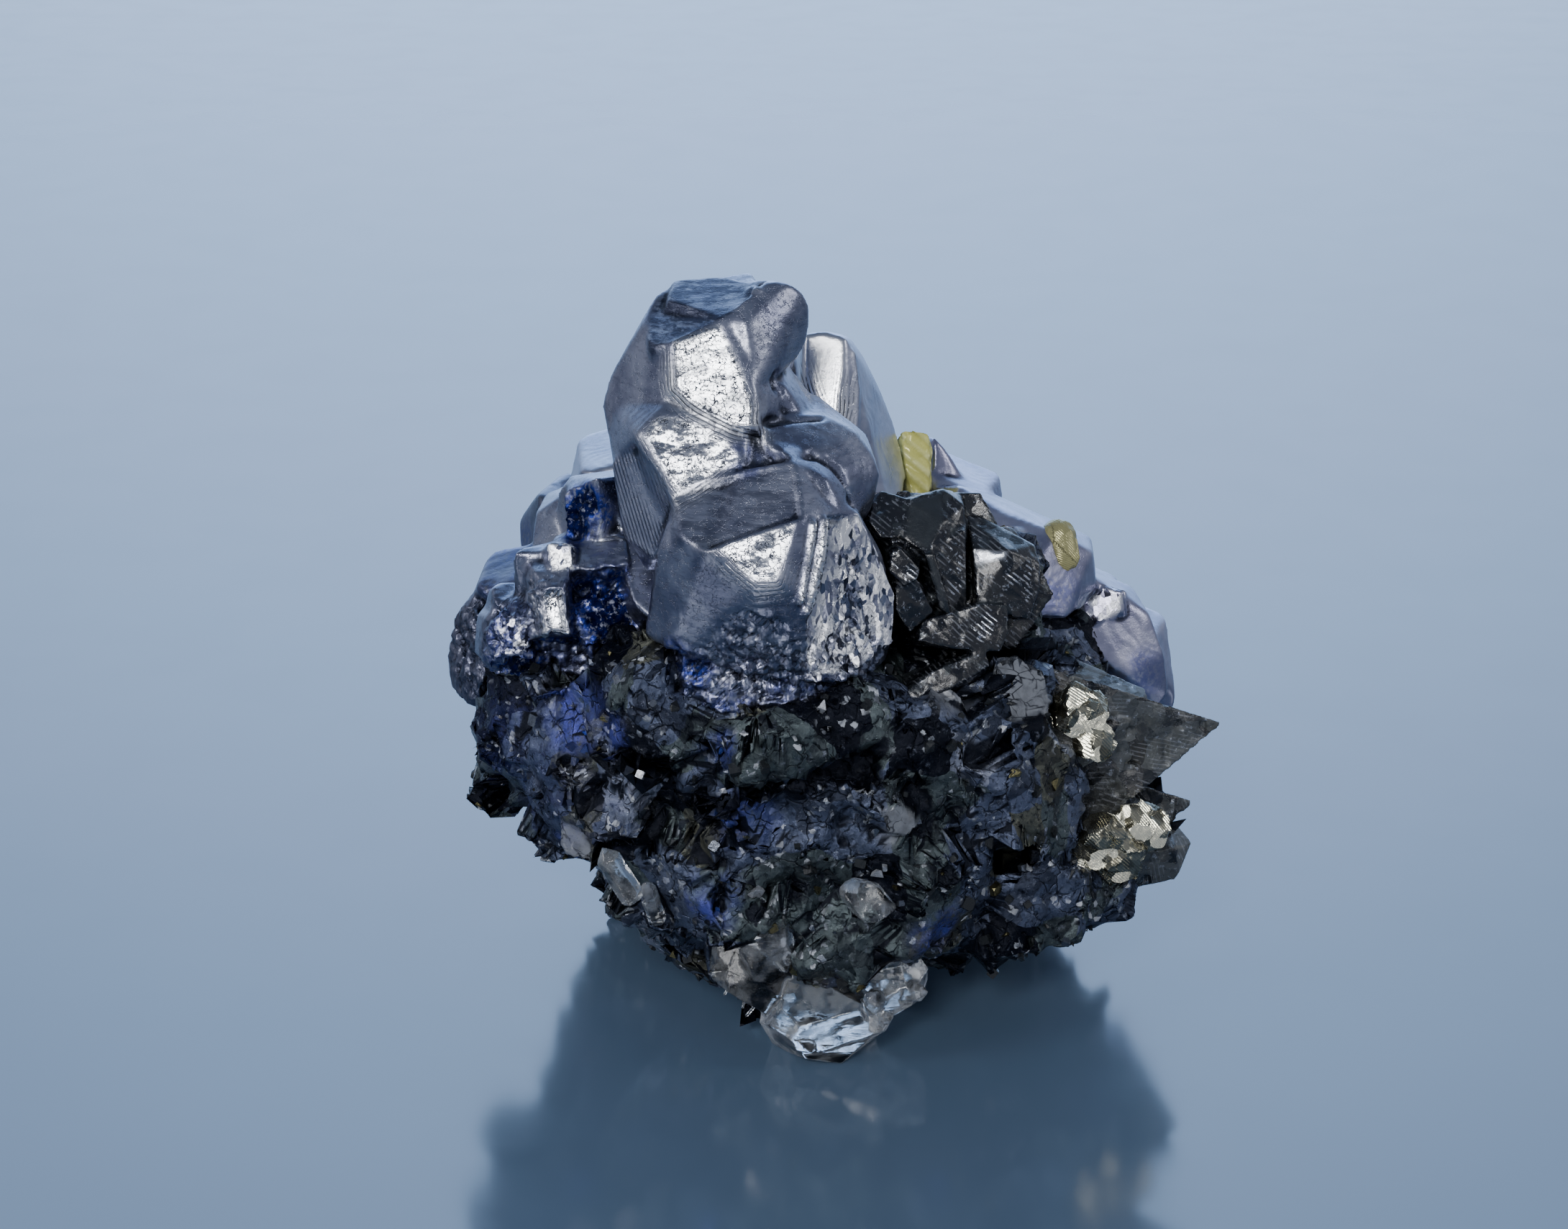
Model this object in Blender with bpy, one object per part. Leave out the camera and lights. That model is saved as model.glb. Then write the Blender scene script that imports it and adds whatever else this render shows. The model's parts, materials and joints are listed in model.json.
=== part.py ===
"""Galena with chalcopyrite: a mineral specimen about 56 mm across.

A dark sulphide rock, narrow below and broad above, carries grown-together groups of
crystals: a leaning tower of galena, galena along the rear ridge, black sphalerite,
brassy chalcopyrite and clear quartz. Each group is one solid, and sits in a recess in
the rock. The script's units are millimetres in the tables and metres in the scene.
X runs to the viewer's right, Y away from the viewer and Z up.
"""

import math
import random
from dataclasses import dataclass
from itertools import product

import bmesh
import bpy
from mathutils import Euler, Matrix, Vector
from mathutils.bvhtree import BVHTree

# Driving dimensions, in millimetres
MM = 0.001
SEAT_GAP = 0.3  # clearance between a crystal group and what it sits in
BROKEN_FACES = (0.84, 1.03)  # how far out a boulder's faces lie, as a share of its round form
REST_CUT = 0.0  # height at which the resting points are worn flat
EDGE_WEAR = 0.5  # depth of the chamfer on a melted galena edge
KNOB_COUNT = 122  # broken crystals fused to the rock
KNOB_RADIUS = (1.5, 3.0)
KNOB_SUNK = 0.55  # how deep a knob's middle lies under the rock, as a share of its radius
KNOB_CLEARANCE = 0.4  # kept between a knob's middle and any crystal group, beyond half its radius
KNOB_CAST_FROM = 70.0  # how far out the places of the knobs are sought
ROCK_MIDDLE = Vector((0.0, 0.0, 20.0))

GOLDEN_ANGLE = math.pi * (3 - math.sqrt(5))
CUBE = [Vector(axis) for axis in ((1, 0, 0), (-1, 0, 0), (0, 1, 0), (0, -1, 0), (0, 0, 1), (0, 0, -1))]
OCTAHEDRON = [Vector(signs).normalized() for signs in product((1, -1), repeat=3)]
TETRAHEDRON = [normal for normal in OCTAHEDRON if normal.x * normal.y * normal.z > 0]
COUNTER_TETRAHEDRON = [-normal for normal in TETRAHEDRON]


@dataclass(frozen=True)
class Crystal:
    """One crystal: centre, distance to its cube faces, turn in degrees, and habit."""

    centre: tuple
    radius: float
    turn: tuple = (0, 0, 0)
    stretch: tuple = (1, 1, 1)
    cube: float = 1.0
    corner: float = 1.2
    counter: float = 0.0  # distance of the other four corner faces; 0 for the same


@dataclass(frozen=True)
class Prism:
    """A six-sided quartz prism with a pointed end, from its root to its tip."""

    root: tuple
    tip: tuple
    radius: float


@dataclass(frozen=True)
class Boulder:
    """A lump of rock with flat broken faces: centre, half sizes and turn in degrees."""

    centre: tuple
    half: tuple
    turn: tuple = (0, 0, 0)
    cuts: int = 16


# The rock, from its core outwards
ROCK = {
    "core": Boulder((-1, 2, 24), (19, 14, 12), cuts=12),
    "wedge": Boulder((-1, -5, 12.6), (13, 10, 10), cuts=12),
    "keel": Boulder((-1.8, -12, 8), (7.5, 5.5, 6.5), cuts=12),
    "crown": Boulder((-6, -5, 31.5), (10.5, 9.5, 6), cuts=12),
    "rear_left": Boulder((-11, 11, 17), (11.5, 8.5, 14), cuts=12),
    "rear_right": Boulder((10, 11, 16), (12, 9.5, 12.5), cuts=12),
    "foot_left": Boulder((-12.4, 9.5, 5.2), (5.6, 5, 6.6), cuts=12),
    "foot_right": Boulder((11, 8, 5), (6.4, 5.6, 6.6), cuts=12),
    "left_flank": Boulder((-20.6, 0, 22), (5.4, 8.6, 8.6)),
    "left_brow": Boulder((-20.6, -2, 28.6), (4, 5.4, 3.2)),
    "left_hem": Boulder((-17.6, -5, 15.2), (5.6, 6.6, 5.4), (0, 25, 0)),
    "blue_lump": Boulder((-18.3, -11, 23.6), (4.0, 4.2, 5.6), (0, 8, 20)),
    "grey_lump": Boulder((-12.3, -14, 25.4), (5.2, 4.8, 7.2), (0, -12, 0)),
    "brow_middle": Boulder((-2.5, -15, 25), (8, 5.4, 5.8)),
    "brow_right": Boulder((5, -14.5, 22.6), (6, 5.2, 5.4), (0, 15, 10)),
    "right_ledge": Boulder((11.6, -11, 19.4), (7.6, 5.6, 5.2), (0, 18, 15)),
    "right_flank": Boulder((14, 2.5, 18), (7, 9.5, 7)),
    "grey_facet": Crystal((12.6, -7.8, 24), 3.8, (-12, 14, 52), (1.1, 1.1, 1), corner=1.02, counter=1.3),
    "left_apron": Boulder((-14.2, -12, 17), (5.4, 5, 5.4), (0, 25, 0)),
    "middle_apron": Boulder((-5, -14.5, 14.8), (7, 5, 7)),
    "right_apron": Boulder((4.6, -14.5, 13.8), (6.4, 5, 7.4), (0, -12, 0)),
    "left_skirt": Boulder((-10.4, -12.2, 11.8), (5, 4.6, 4.8), (0, 25, 0)),
    "right_skirt": Boulder((12, -9.5, 11.2), (7, 6, 5.2), (0, -14, 0)),
    "right_hem": Boulder((18, -4.5, 11), (6.4, 7, 5.4), (0, -14, 0)),
    "right_tail": Boulder((21.5, -2, 11.6), (3.8, 5.6, 4)),
}

# Galena: the leaning tower of melted crystals at the front
GALENA_TOWER = {
    "top": Crystal((-7.9, -7.8, 49.0), 4.9, (-4, -14, 43), (1.0, 1.0, 1.0), corner=1.06),
    "top_lobe": Crystal((-4.6, -6.4, 50.2), 3.5, (8, -8, 30), (0.85, 1.0, 1.25), corner=1.1),
    "middle": Crystal((-10.8, -9.8, 42.0), 4.6, (-4, -14, 47), (1.0, 1.0, 1.5), corner=1.05),
    "waist": Crystal((-5.4, -7, 42.5), 4.0, (-4, -14, 40), (1, 1, 1.3)),
    "front": Crystal((-4.5, -13.8, 37.9), 6.9, (-4, -16, 44), (1.0, 1.0, 1.0), corner=1.1),
    "front_root": Crystal((-5.2, -14.0, 31.2), 5.0, (0, 10, 35), (1.25, 0.95, 0.75)),
    "side_lobe": Crystal((-0.6, -7.4, 39.6), 4.2, (0, 30, 40), (0.9, 1, 1.1), corner=1.1),
    "rear_step": Crystal((-3.0, -1.5, 43), 3.5, (-10, 0, 40), (1, 1, 1.2)),
    "tower_root": Crystal((-9, -7, 35), 5.6, (10, 0, 20), (1.2, 1.1, 1)),
}

# Galena: the tall crystal behind the tower and the one at its left shoulder
GALENA_REAR = {
    "spire": Crystal((0.3, 7.5, 38.2), 4.5, (-8, 6, 40), (0.9, 0.95, 1.7), corner=1.16),
    "spire_step": Crystal((3.6, 9.5, 32.5), 4.2, (0, 12, 30), (0.9, 1, 1.2)),
    "shoulder": Crystal((-8, 7, 35.2), 5.2, (12, -10, 25), (1.2, 1, 1.1)),
    "left_shoulder": Crystal((-13.8, 6, 33.4), 4.7, (-6, -14, 50), (1, 1, 1.25)),
}
GALENA_RIDGE = {
    "ridge_1": Crystal((7.6, 16.4, 28.6), 4.4, (10, 15, 30), (1, 1, 1.2)),
    "ridge_2": Crystal((12.6, 17.0, 25.2), 4.4, (-10, 20, 10), (1.1, 1, 1)),
    "ridge_3": Crystal((17.4, 15.6, 21.6), 4.2, (5, 25, 40), (1, 1, 1.1)),
    "ridge_4": Crystal((20.6, 12.6, 18.2), 4.3, (12, 8, 25), (1, 1.1, 1.2)),
}
GALENA_LEFT = {
    "block": Crystal((-16.5, -5.2, 35.2), 2.7, (4, 6, 28), (0.95, 1, 1.25), corner=1.6),
    "step": Crystal((-15.9, -8, 33.0), 3.2, (6, 2, 18), (1.1, 1, 0.8), corner=1.6),
    "post": Crystal((-19.6, -9.2, 31.8), 2.5, (8, -4, 30), (0.9, 0.9, 1.5), corner=1.6),
    "knee": Crystal((-22.4, -7.6, 29.2), 2.3, (20, 10, 15), (1, 1, 1.1), corner=1.5),
    "heel": Crystal((-18.2, -10.6, 28.6), 2.0, (0, 15, 40), corner=1.4),
}
GALENA_LEFT_REAR = {
    "knob": Crystal((-19.0, 6.2, 30.8), 3.9, (10, 5, 20), (0.9, 1, 1.1)),
    "lower_knob": Crystal((-22.4, 2.6, 27.8), 3.4, (0, -20, 35), (1, 1, 0.95)),
    "outer_knob": Crystal((-24.8, 1.4, 24.2), 2.9, (10, 8, 30), (0.9, 1, 1.25), corner=1.4),
}
GALENA_BACK = {
    "back_1": Crystal((-4, 18.5, 27), 5.2, (20, 10, 30), (1.1, 1, 1)),
    "back_2": Crystal((-10.5, 17, 22), 4.8, (-15, 20, 10), (1, 1, 1.15)),
    "back_3": Crystal((2.5, 19.5, 20.5), 4.0, (5, -15, 45)),
}

# Sphalerite: black, striated, with the three-cornered faces of its habit
SPHALERITE_TWIN = {
    "twin_left": Crystal((5.0, -7.4, 33.8), 4.0, (25, 30, -20), (0.95, 1, 1.15), corner=0.98, counter=1.35),
    "twin_right": Crystal((7.2, -6, 34.2), 3.7, (-20, 15, 35), (0.85, 1, 1.2), corner=1.02, counter=1.3),
}
SPHALERITE_BLOCK = {
    "block": Crystal((10.8, -6.6, 31.4), 3.7, (15, 38, 10), (1, 0.95, 1.05), corner=1.05, counter=1.3),
    "step": Crystal((8.8, -10.4, 29.2), 3.1, (0, 35, -10), (1.3, 0.9, 0.75), corner=1.1, counter=1.3),
}
SPHALERITE_SPIKE = {
    "spike": Crystal((18.7, -4.6, 20.0), 5.1, (37, -5, 46), cube=1.62, corner=0.62, counter=1.8),
    "spike_root": Crystal((16.6, -3.6, 20.2), 4.6, (20, 10, 30), (1.1, 1, 0.9), corner=1.05, counter=1.3),
}
SPHALERITE_SPUR = {
    "upper": Crystal((21.8, -3, 13.6), 2.6, (37, -5, 46), cube=1.7, corner=0.62, counter=1.7),
    "lower": Crystal((22.8, -4.0, 10.8), 2.3, (20, 30, 10), (1, 1, 1.1), corner=1.1, counter=1.3),
}

# Chalcopyrite: brassy wedges
CHALCOPYRITE_CREST = {
    "wedge": Crystal((5.0, 13, 33.4), 2.8, (10, 20, 25), (0.8, 0.9, 1.6), corner=0.95, counter=1.4),
    "blade": Crystal((7.4, 12.6, 31.4), 2.2, (0, 12, 40), (0.8, 1, 1.5), corner=1.0, counter=1.4),
}
CHALCOPYRITE_RIDGE = {
    "bead": Crystal((15.9, 13.8, 25.8), 2.3, (0, 15, 20), (0.8, 1, 1.6), corner=1.0, counter=1.35),
}
CHALCOPYRITE_BLADES = {
    "blade_1": Crystal((18.6, -10.6, 14.2), 1.5, (15, 35, 20), (1.1, 0.8, 1.4), corner=1.2),
    "blade_2": Crystal((20.2, -10.2, 12.8), 1.4, (15, 35, 20), (1.1, 0.8, 1.3), corner=1.2),
    "bright": Crystal((21.6, -8.4, 14.4), 1.9, (30, 20, 25), (1.1, 0.9, 0.9), corner=1.1),
}
CHALCOPYRITE_SPARK = {
    "upper": Crystal((17.0, -10.0, 24.0), 1.6, (25, 10, 30), (1.2, 1, 1), corner=1.1),
    "lower": Crystal((18.3, -9.8, 21.6), 1.3, (0, 20, 50), corner=1.1),
}
CHALCOPYRITE_BACK = {
    "wedge": Crystal((8.5, 20.0, 20), 3.0, (15, 10, 30), (1.2, 0.9, 1), corner=0.95, counter=1.4),
    "blade": Crystal((5.8, 20.4, 22.4), 2.3, (40, 0, 20), corner=0.95, counter=1.4),
}

# Quartz: the clear crust that the specimen leans on, and its loose-looking blades
QUARTZ_FOOT = {
    "crust": Boulder((-1.0, -14.4, 2.5), (4.6, 4.2, 3.4)),
    "crust_left": Boulder((-5.6, -14.0, 5.4), (3.8, 3.0, 2.2), (0, 38, 0)),
    "crust_right": Boulder((3.4, -13.4, 4.2), (3.6, 3.2, 2.0), (0, -32, 0)),
    "patch": Boulder((-4.8, -16.4, 9.4), (1.9, 1.9, 3.6), (0, 12, 0)),
    "prism_1": Prism((-1.2, -17.2, 1.8), (4.2, -17.6, 4.0), 0.9),
    "prism_2": Prism((2.0, -16.2, 2.4), (2.9, -18.4, 6.4), 0.75),
    "prism_3": Prism((-3.6, -16.0, 3.2), (-1.6, -18.4, 1.3), 0.8),
    "prism_4": Prism((-7.2, -14.4, 6.0), (-9.2, -16.0, 6.4), 0.7),
    "prism_5": Prism((3.6, -14.4, 4.2), (6.6, -16.4, 5.2), 0.7),
}
QUARTZ_LENS = {"lens": Boulder((2.0, -19.2, 13.6), (2.2, 1.5, 1.4), (0, 35, 0), 22)}
QUARTZ_BLADE = {"blade": Prism((-14.2, -16.4, 12.4), (-16.4, -16.8, 16.6), 0.85)}
QUARTZ_NEEDLE = {"needle": Prism((-12.6, -15.6, 10.4), (-13.4, -17.4, 14.2), 0.65)}

# The group whose edges look melted
MELTED = ("galena_tower",)

# In the order in which they grew: a group is cut by those above it
GROUPS = {
    "galena_tower": GALENA_TOWER,
    "galena_rear": GALENA_REAR,
    "galena_ridge": GALENA_RIDGE,
    "galena_left": GALENA_LEFT,
    "galena_left_rear": GALENA_LEFT_REAR,
    "galena_back": GALENA_BACK,
    "sphalerite_twin": SPHALERITE_TWIN,
    "sphalerite_block": SPHALERITE_BLOCK,
    "sphalerite_spike": SPHALERITE_SPIKE,
    "sphalerite_spur": SPHALERITE_SPUR,
    "chalcopyrite_crest": CHALCOPYRITE_CREST,
    "chalcopyrite_ridge": CHALCOPYRITE_RIDGE,
    "chalcopyrite_blades": CHALCOPYRITE_BLADES,
    "chalcopyrite_spark": CHALCOPYRITE_SPARK,
    "chalcopyrite_back": CHALCOPYRITE_BACK,
    "quartz_foot": QUARTZ_FOOT,
    "quartz_lens": QUARTZ_LENS,
    "quartz_blade": QUARTZ_BLADE,
    "quartz_needle": QUARTZ_NEEDLE,
}

# Colour, roughness and metallic value of each mineral
MINERALS = {
    "matrix": ((0.060, 0.068, 0.078), 0.55, 0.55),
    "galena": ((0.36, 0.38, 0.46), 0.28, 1.0),
    "sphalerite": ((0.035, 0.036, 0.04), 0.22, 0.6),
    "chalcopyrite": ((0.66, 0.52, 0.16), 0.3, 1.0),
    "quartz": ((0.80, 0.85, 0.90), 0.15, 0.0),
}


def clear_scene():
    """Removes the objects that the scene starts with."""
    for obj in list(bpy.data.objects):
        bpy.data.objects.remove(obj)


def collection(name):
    """A new collection in the scene."""
    made = bpy.data.collections.new(name)
    bpy.context.scene.collection.children.link(made)
    return made


def rotation(turn):
    """The rotation of a turn in degrees about X, Y and Z."""
    return Euler([math.radians(angle) for angle in turn]).to_matrix()


def turned_planes(planes, turn, stretch=(1, 1, 1)):
    """The planes (normal, distance) after a stretch along their own axes and a turn."""
    turned = []
    for normal, distance in planes:
        leaning = Vector(axis / by for axis, by in zip(normal, stretch))
        turned.append((rotation(turn) @ leaning.normalized(), distance / leaning.length))
    return turned


def crystal_planes(crystal):
    """The faces of a cube with its corners cut, as planes about its centre."""
    counter = crystal.counter or crystal.corner
    planes = [(normal, crystal.cube * crystal.radius) for normal in CUBE]
    planes += [(normal, crystal.corner * crystal.radius) for normal in TETRAHEDRON]
    planes += [(normal, counter * crystal.radius) for normal in COUNTER_TETRAHEDRON]
    return turned_planes(planes, crystal.turn, crystal.stretch)


def boulder_planes(boulder, name):
    """Faces tangent to an ellipsoid, evenly spread and then shifted at random."""
    chance = random.Random(name)
    planes = [(normal, half) for normal, half in zip(CUBE, [h for h in boulder.half for _ in range(2)])]
    for step in range(boulder.cuts):
        height = 1 - 2 * (step + 0.5) / boulder.cuts
        around = GOLDEN_ANGLE * step + chance.uniform(-0.4, 0.4)
        level = math.sqrt(1 - height * height)
        normal = Vector((level * math.cos(around), level * math.sin(around), height))
        reach = math.sqrt(sum((half * n) ** 2 for half, n in zip(boulder.half, normal)))
        planes.append((normal, reach * chance.uniform(*BROKEN_FACES)))
    return turned_planes(planes, boulder.turn)


def prism_planes(prism):
    """Six sides, six sloping end faces and a flat root, about the prism's middle."""
    along = Vector(prism.tip) - Vector(prism.root)
    frame = along.to_track_quat("Z", "Y").to_matrix()
    half = along.length / 2
    planes = [(Vector((0, 0, -1)), half)]
    for side in range(6):
        angle = math.radians(60 * side)
        out = Vector((math.cos(angle), math.sin(angle), 0))
        planes.append((out, prism.radius))
        sloping = Vector((out.x, out.y, 0.8)).normalized()
        planes.append((sloping, sloping.z * half))
    return [(frame @ normal, distance) for normal, distance in planes]


def planes_of(shape, name):
    """A shape's centre and its faces, as planes about that centre."""
    if isinstance(shape, Prism):
        return (Vector(shape.root) + Vector(shape.tip)) / 2, prism_planes(shape)
    if isinstance(shape, Boulder):
        return Vector(shape.centre), boulder_planes(shape, name)
    return Vector(shape.centre), crystal_planes(shape)


def cut_off(bm, normal, distance):
    """Cuts away what lies beyond a plane, and closes the cut."""
    geometry = bm.verts[:] + bm.edges[:] + bm.faces[:]
    cut = bmesh.ops.bisect_plane(
        bm, geom=geometry, dist=1e-5, plane_co=normal * distance, plane_no=normal, clear_outer=True
    )
    rim = [piece for piece in cut["geom_cut"] if isinstance(piece, bmesh.types.BMEdge)]
    if len(rim) > 2:
        bmesh.ops.contextual_create(bm, geom=rim)


def chamfer(bm, wear):
    """Wears every edge of a convex block flat, to a depth of wear."""
    planes = []
    for edge in bm.edges:
        if len(edge.link_faces) == 2:
            normal = (edge.link_faces[0].normal + edge.link_faces[1].normal).normalized()
            planes.append((normal, normal.dot(edge.verts[0].co) - wear))
    for normal, distance in planes:
        cut_off(bm, normal, distance)
    bm.normal_update()


def block(centre, planes, grow=0.0, wear=0.0):
    """A convex solid cut from a cube primitive by planes, as a bmesh in metres."""
    bm = bmesh.new()
    reach = 4 * max(distance for _, distance in planes) + grow
    bmesh.ops.create_cube(bm, size=reach)
    for normal, distance in planes:
        cut_off(bm, normal, distance + grow)
    bmesh.ops.recalc_face_normals(bm, faces=bm.faces[:])
    bm.normal_update()
    if wear:
        chamfer(bm, wear)
    bmesh.ops.dissolve_limit(bm, angle_limit=math.radians(1), verts=bm.verts[:], edges=bm.edges[:])
    bmesh.ops.recalc_face_normals(bm, faces=bm.faces[:])
    bm.transform(Matrix.Scale(MM, 4) @ Matrix.Translation(centre))
    return bm


def helper(name, bm, helpers):
    """Puts a bmesh in a hidden helper object."""
    mesh = bpy.data.meshes.new(name)
    bm.to_mesh(mesh)
    bm.free()
    obj = bpy.data.objects.new(name, mesh)
    obj.hide_render = True
    obj.display_type = "WIRE"
    helpers.objects.link(obj)
    return obj


def boolean(obj, operation, operands):
    """Joins a collection of closed helpers to obj, or cuts them out of it, and applies it."""
    modifier = obj.modifiers.new(operation.lower(), "BOOLEAN")
    modifier.operation = operation
    modifier.operand_type = "COLLECTION"
    modifier.collection = operands
    graph = bpy.context.evaluated_depsgraph_get()
    result = bpy.data.meshes.new_from_object(obj.evaluated_get(graph))
    obj.modifiers.remove(modifier)
    obj.data = result


def keep_largest_shell(mesh):
    """Drops the closed hollows and loose chips that a Boolean leaves."""
    bm = bmesh.new()
    bm.from_mesh(mesh)
    unseen, shells = set(bm.verts), []
    while unseen:
        front = [unseen.pop()]
        shell = set(front)
        while front:
            for edge in front.pop().link_edges:
                for vert in edge.verts:
                    if vert in unseen:
                        unseen.remove(vert)
                        shell.add(vert)
                        front.append(vert)
        shells.append(shell)

    def spread(shell):
        """The diagonal of a shell's box."""
        sides = [[vert.co[axis] for vert in shell] for axis in range(3)]
        return Vector(max(side) - min(side) for side in sides).length

    kept = max(shells, key=spread)
    bmesh.ops.delete(bm, geom=[vert for vert in bm.verts if vert not in kept], context="VERTS")
    bm.to_mesh(mesh)
    bm.free()


def fused(name, solids, parts, helpers):
    """One object made of overlapping convex solids."""
    operands = bpy.data.collections.new(f"{name}_pieces")
    helpers.children.link(operands)
    first, *others = solids
    mesh = bpy.data.meshes.new(name)
    first.to_mesh(mesh)
    first.free()
    obj = bpy.data.objects.new(name, mesh)
    parts.objects.link(obj)
    for number, solid in enumerate(others):
        helper(f"{name}_piece_{number}", solid, operands)
    if others:
        boolean(obj, "UNION", operands)
    keep_largest_shell(obj.data)
    return obj


def group_solids(name, shapes):
    """The solids of one crystal group, with worn edges where it looks melted."""
    wear = EDGE_WEAR if name in MELTED else 0
    solids = []
    for part, shape in shapes.items():
        centre, planes = planes_of(shape, f"{name}_{part}")
        solids.append(block(centre, planes, wear=wear))
    return solids


def seat_cutters(name, shapes, helpers):
    """The group's shapes grown by the seat gap, in a collection of cutters."""
    cutters = bpy.data.collections.new(f"{name}_seat")
    helpers.children.link(cutters)
    for part, shape in shapes.items():
        centre, planes = planes_of(shape, f"{name}_{part}")
        helper(f"{name}_{part}_seat", block(centre, planes, grow=SEAT_GAP), cutters)
    return cutters


def inside_depth(point, centre, planes):
    """How far outside a convex shape a point lies, negative within it, in millimetres."""
    return max(normal.dot(point - centre) - distance for normal, distance in planes)


def knobs(rock_solids):
    """Small crystals set on the outside of the rock, clear of the crystal groups."""
    skin = bmesh.new()
    for solid in rock_solids:
        mesh = bpy.data.meshes.new("skin")
        solid.to_mesh(mesh)
        skin.from_mesh(mesh)
    tree = BVHTree.FromBMesh(skin)
    skin.free()
    taken = [planes_of(shape, f"{name}_{part}") for name, shapes in GROUPS.items() for part, shape in shapes.items()]
    chance = random.Random("knobs")
    made = []
    for step in range(KNOB_COUNT):
        height = 1 - 2 * (step + 0.5) / KNOB_COUNT
        around = GOLDEN_ANGLE * step
        level = math.sqrt(1 - height * height)
        out = Vector((level * math.cos(around), level * math.sin(around), height))
        start = (ROCK_MIDDLE + out * KNOB_CAST_FROM) * MM
        hit, normal, _, _ = tree.ray_cast(start, -out)
        radius = chance.uniform(*KNOB_RADIUS)
        turn = tuple(chance.uniform(0, 90) for _ in range(3))
        stretch = tuple(chance.uniform(0.75, 1.25) for _ in range(3))
        corner, counter = chance.uniform(0.85, 1.2), chance.uniform(1.0, 1.4)
        if hit is None:
            continue
        centre = hit / MM - normal * radius * KNOB_SUNK
        near = min(inside_depth(centre, *shape) for shape in taken)
        if near < radius / 2 + KNOB_CLEARANCE or centre.z < radius * 1.4:
            continue
        crystal = Crystal(tuple(centre), radius, turn, stretch, corner=corner, counter=counter)
        made.append(block(centre, crystal_planes(crystal)))
    return made


def worn_flat(obj):
    """Cuts the underside flat where the specimen rests."""
    bm = bmesh.new()
    bm.from_mesh(obj.data)
    geometry = bm.verts[:] + bm.edges[:] + bm.faces[:]
    floor = Vector((0, 0, REST_CUT * MM))
    cut = bmesh.ops.bisect_plane(
        bm, geom=geometry, dist=1e-7, plane_co=floor, plane_no=Vector((0, 0, -1)), clear_outer=True
    )
    rim = [piece for piece in cut["geom_cut"] if isinstance(piece, bmesh.types.BMEdge)]
    if rim:
        bmesh.ops.holes_fill(bm, edges=rim, sides=0)
    bmesh.ops.recalc_face_normals(bm, faces=bm.faces[:])
    bm.to_mesh(obj.data)
    bm.free()


def mineral_of(name):
    """The mineral that a node is made of."""
    return name.split("_")[0]


def finish(obj, materials):
    """Gives a node its mineral's material."""
    obj.data.materials.clear()
    obj.data.materials.append(materials[mineral_of(obj.name)])


def make_materials():
    """One material for each mineral."""
    made = {}
    for name, (colour, roughness, metallic) in MINERALS.items():
        material = bpy.data.materials.new(name)
        material.use_nodes = True
        shader = material.node_tree.nodes["Principled BSDF"]
        shader.inputs["Base Color"].default_value = (*colour, 1)
        shader.inputs["Roughness"].default_value = roughness
        shader.inputs["Metallic"].default_value = metallic
        made[name] = material
    return made


def centre_on_origin(nodes, parts):
    """Hangs the nodes from an empty, so that the middle of their base is the origin."""
    corners = [vert.co for node in nodes for vert in node.data.vertices]
    lowest = Vector(min(corner[axis] for corner in corners) for axis in range(3))
    highest = Vector(max(corner[axis] for corner in corners) for axis in range(3))
    specimen = bpy.data.objects.new("specimen", None)
    parts.objects.link(specimen)
    specimen.location = (-(lowest.x + highest.x) / 2, -(lowest.y + highest.y) / 2, -lowest.z)
    for node in nodes:
        node.parent = specimen
    print("specimen offset in mm:", [round(value / MM, 3) for value in specimen.location])
    print("size in mm:", [round(value / MM, 2) for value in highest - lowest])


def main():
    """Builds the specimen."""
    clear_scene()
    parts = collection("galena_with_chalcopyrite")
    helpers = collection("cutters")
    materials = make_materials()
    nodes, seats = [], []
    for name, shapes in GROUPS.items():
        node = fused(name, group_solids(name, shapes), parts, helpers)
        for seat in seats:
            boolean(node, "DIFFERENCE", seat)
        keep_largest_shell(node.data)
        seats.append(seat_cutters(name, shapes, helpers))
        nodes.append(node)
    rock_solids = [block(*planes_of(boulder, name)) for name, boulder in ROCK.items()]
    matrix = fused("matrix", rock_solids + knobs(rock_solids), parts, helpers)
    for seat in seats:
        boolean(matrix, "DIFFERENCE", seat)
    keep_largest_shell(matrix.data)
    nodes.append(matrix)
    for node in nodes:
        worn_flat(node)
        finish(node, materials)
        print(node.name, len(node.data.vertices), "vertices")
    centre_on_origin(nodes, parts)
    helpers.hide_render = True


main()
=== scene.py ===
"""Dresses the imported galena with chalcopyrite, a mineral specimen about 56 mm across.

The CAD crystals become melted galena, striated black sphalerite, brassy chalcopyrite and clear
quartz, and the CAD rock becomes broken, granular ore with small crystals grown all over it.
The classes hold their sizes in millimetres, and the finished meshes are in metres.
"""

import json
import logging
import math
from dataclasses import dataclass
from enum import Enum
from itertools import product
from typing import ClassVar

import bmesh
import bpy
import numpy as np
from mathutils import Euler, Matrix, Vector

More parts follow.
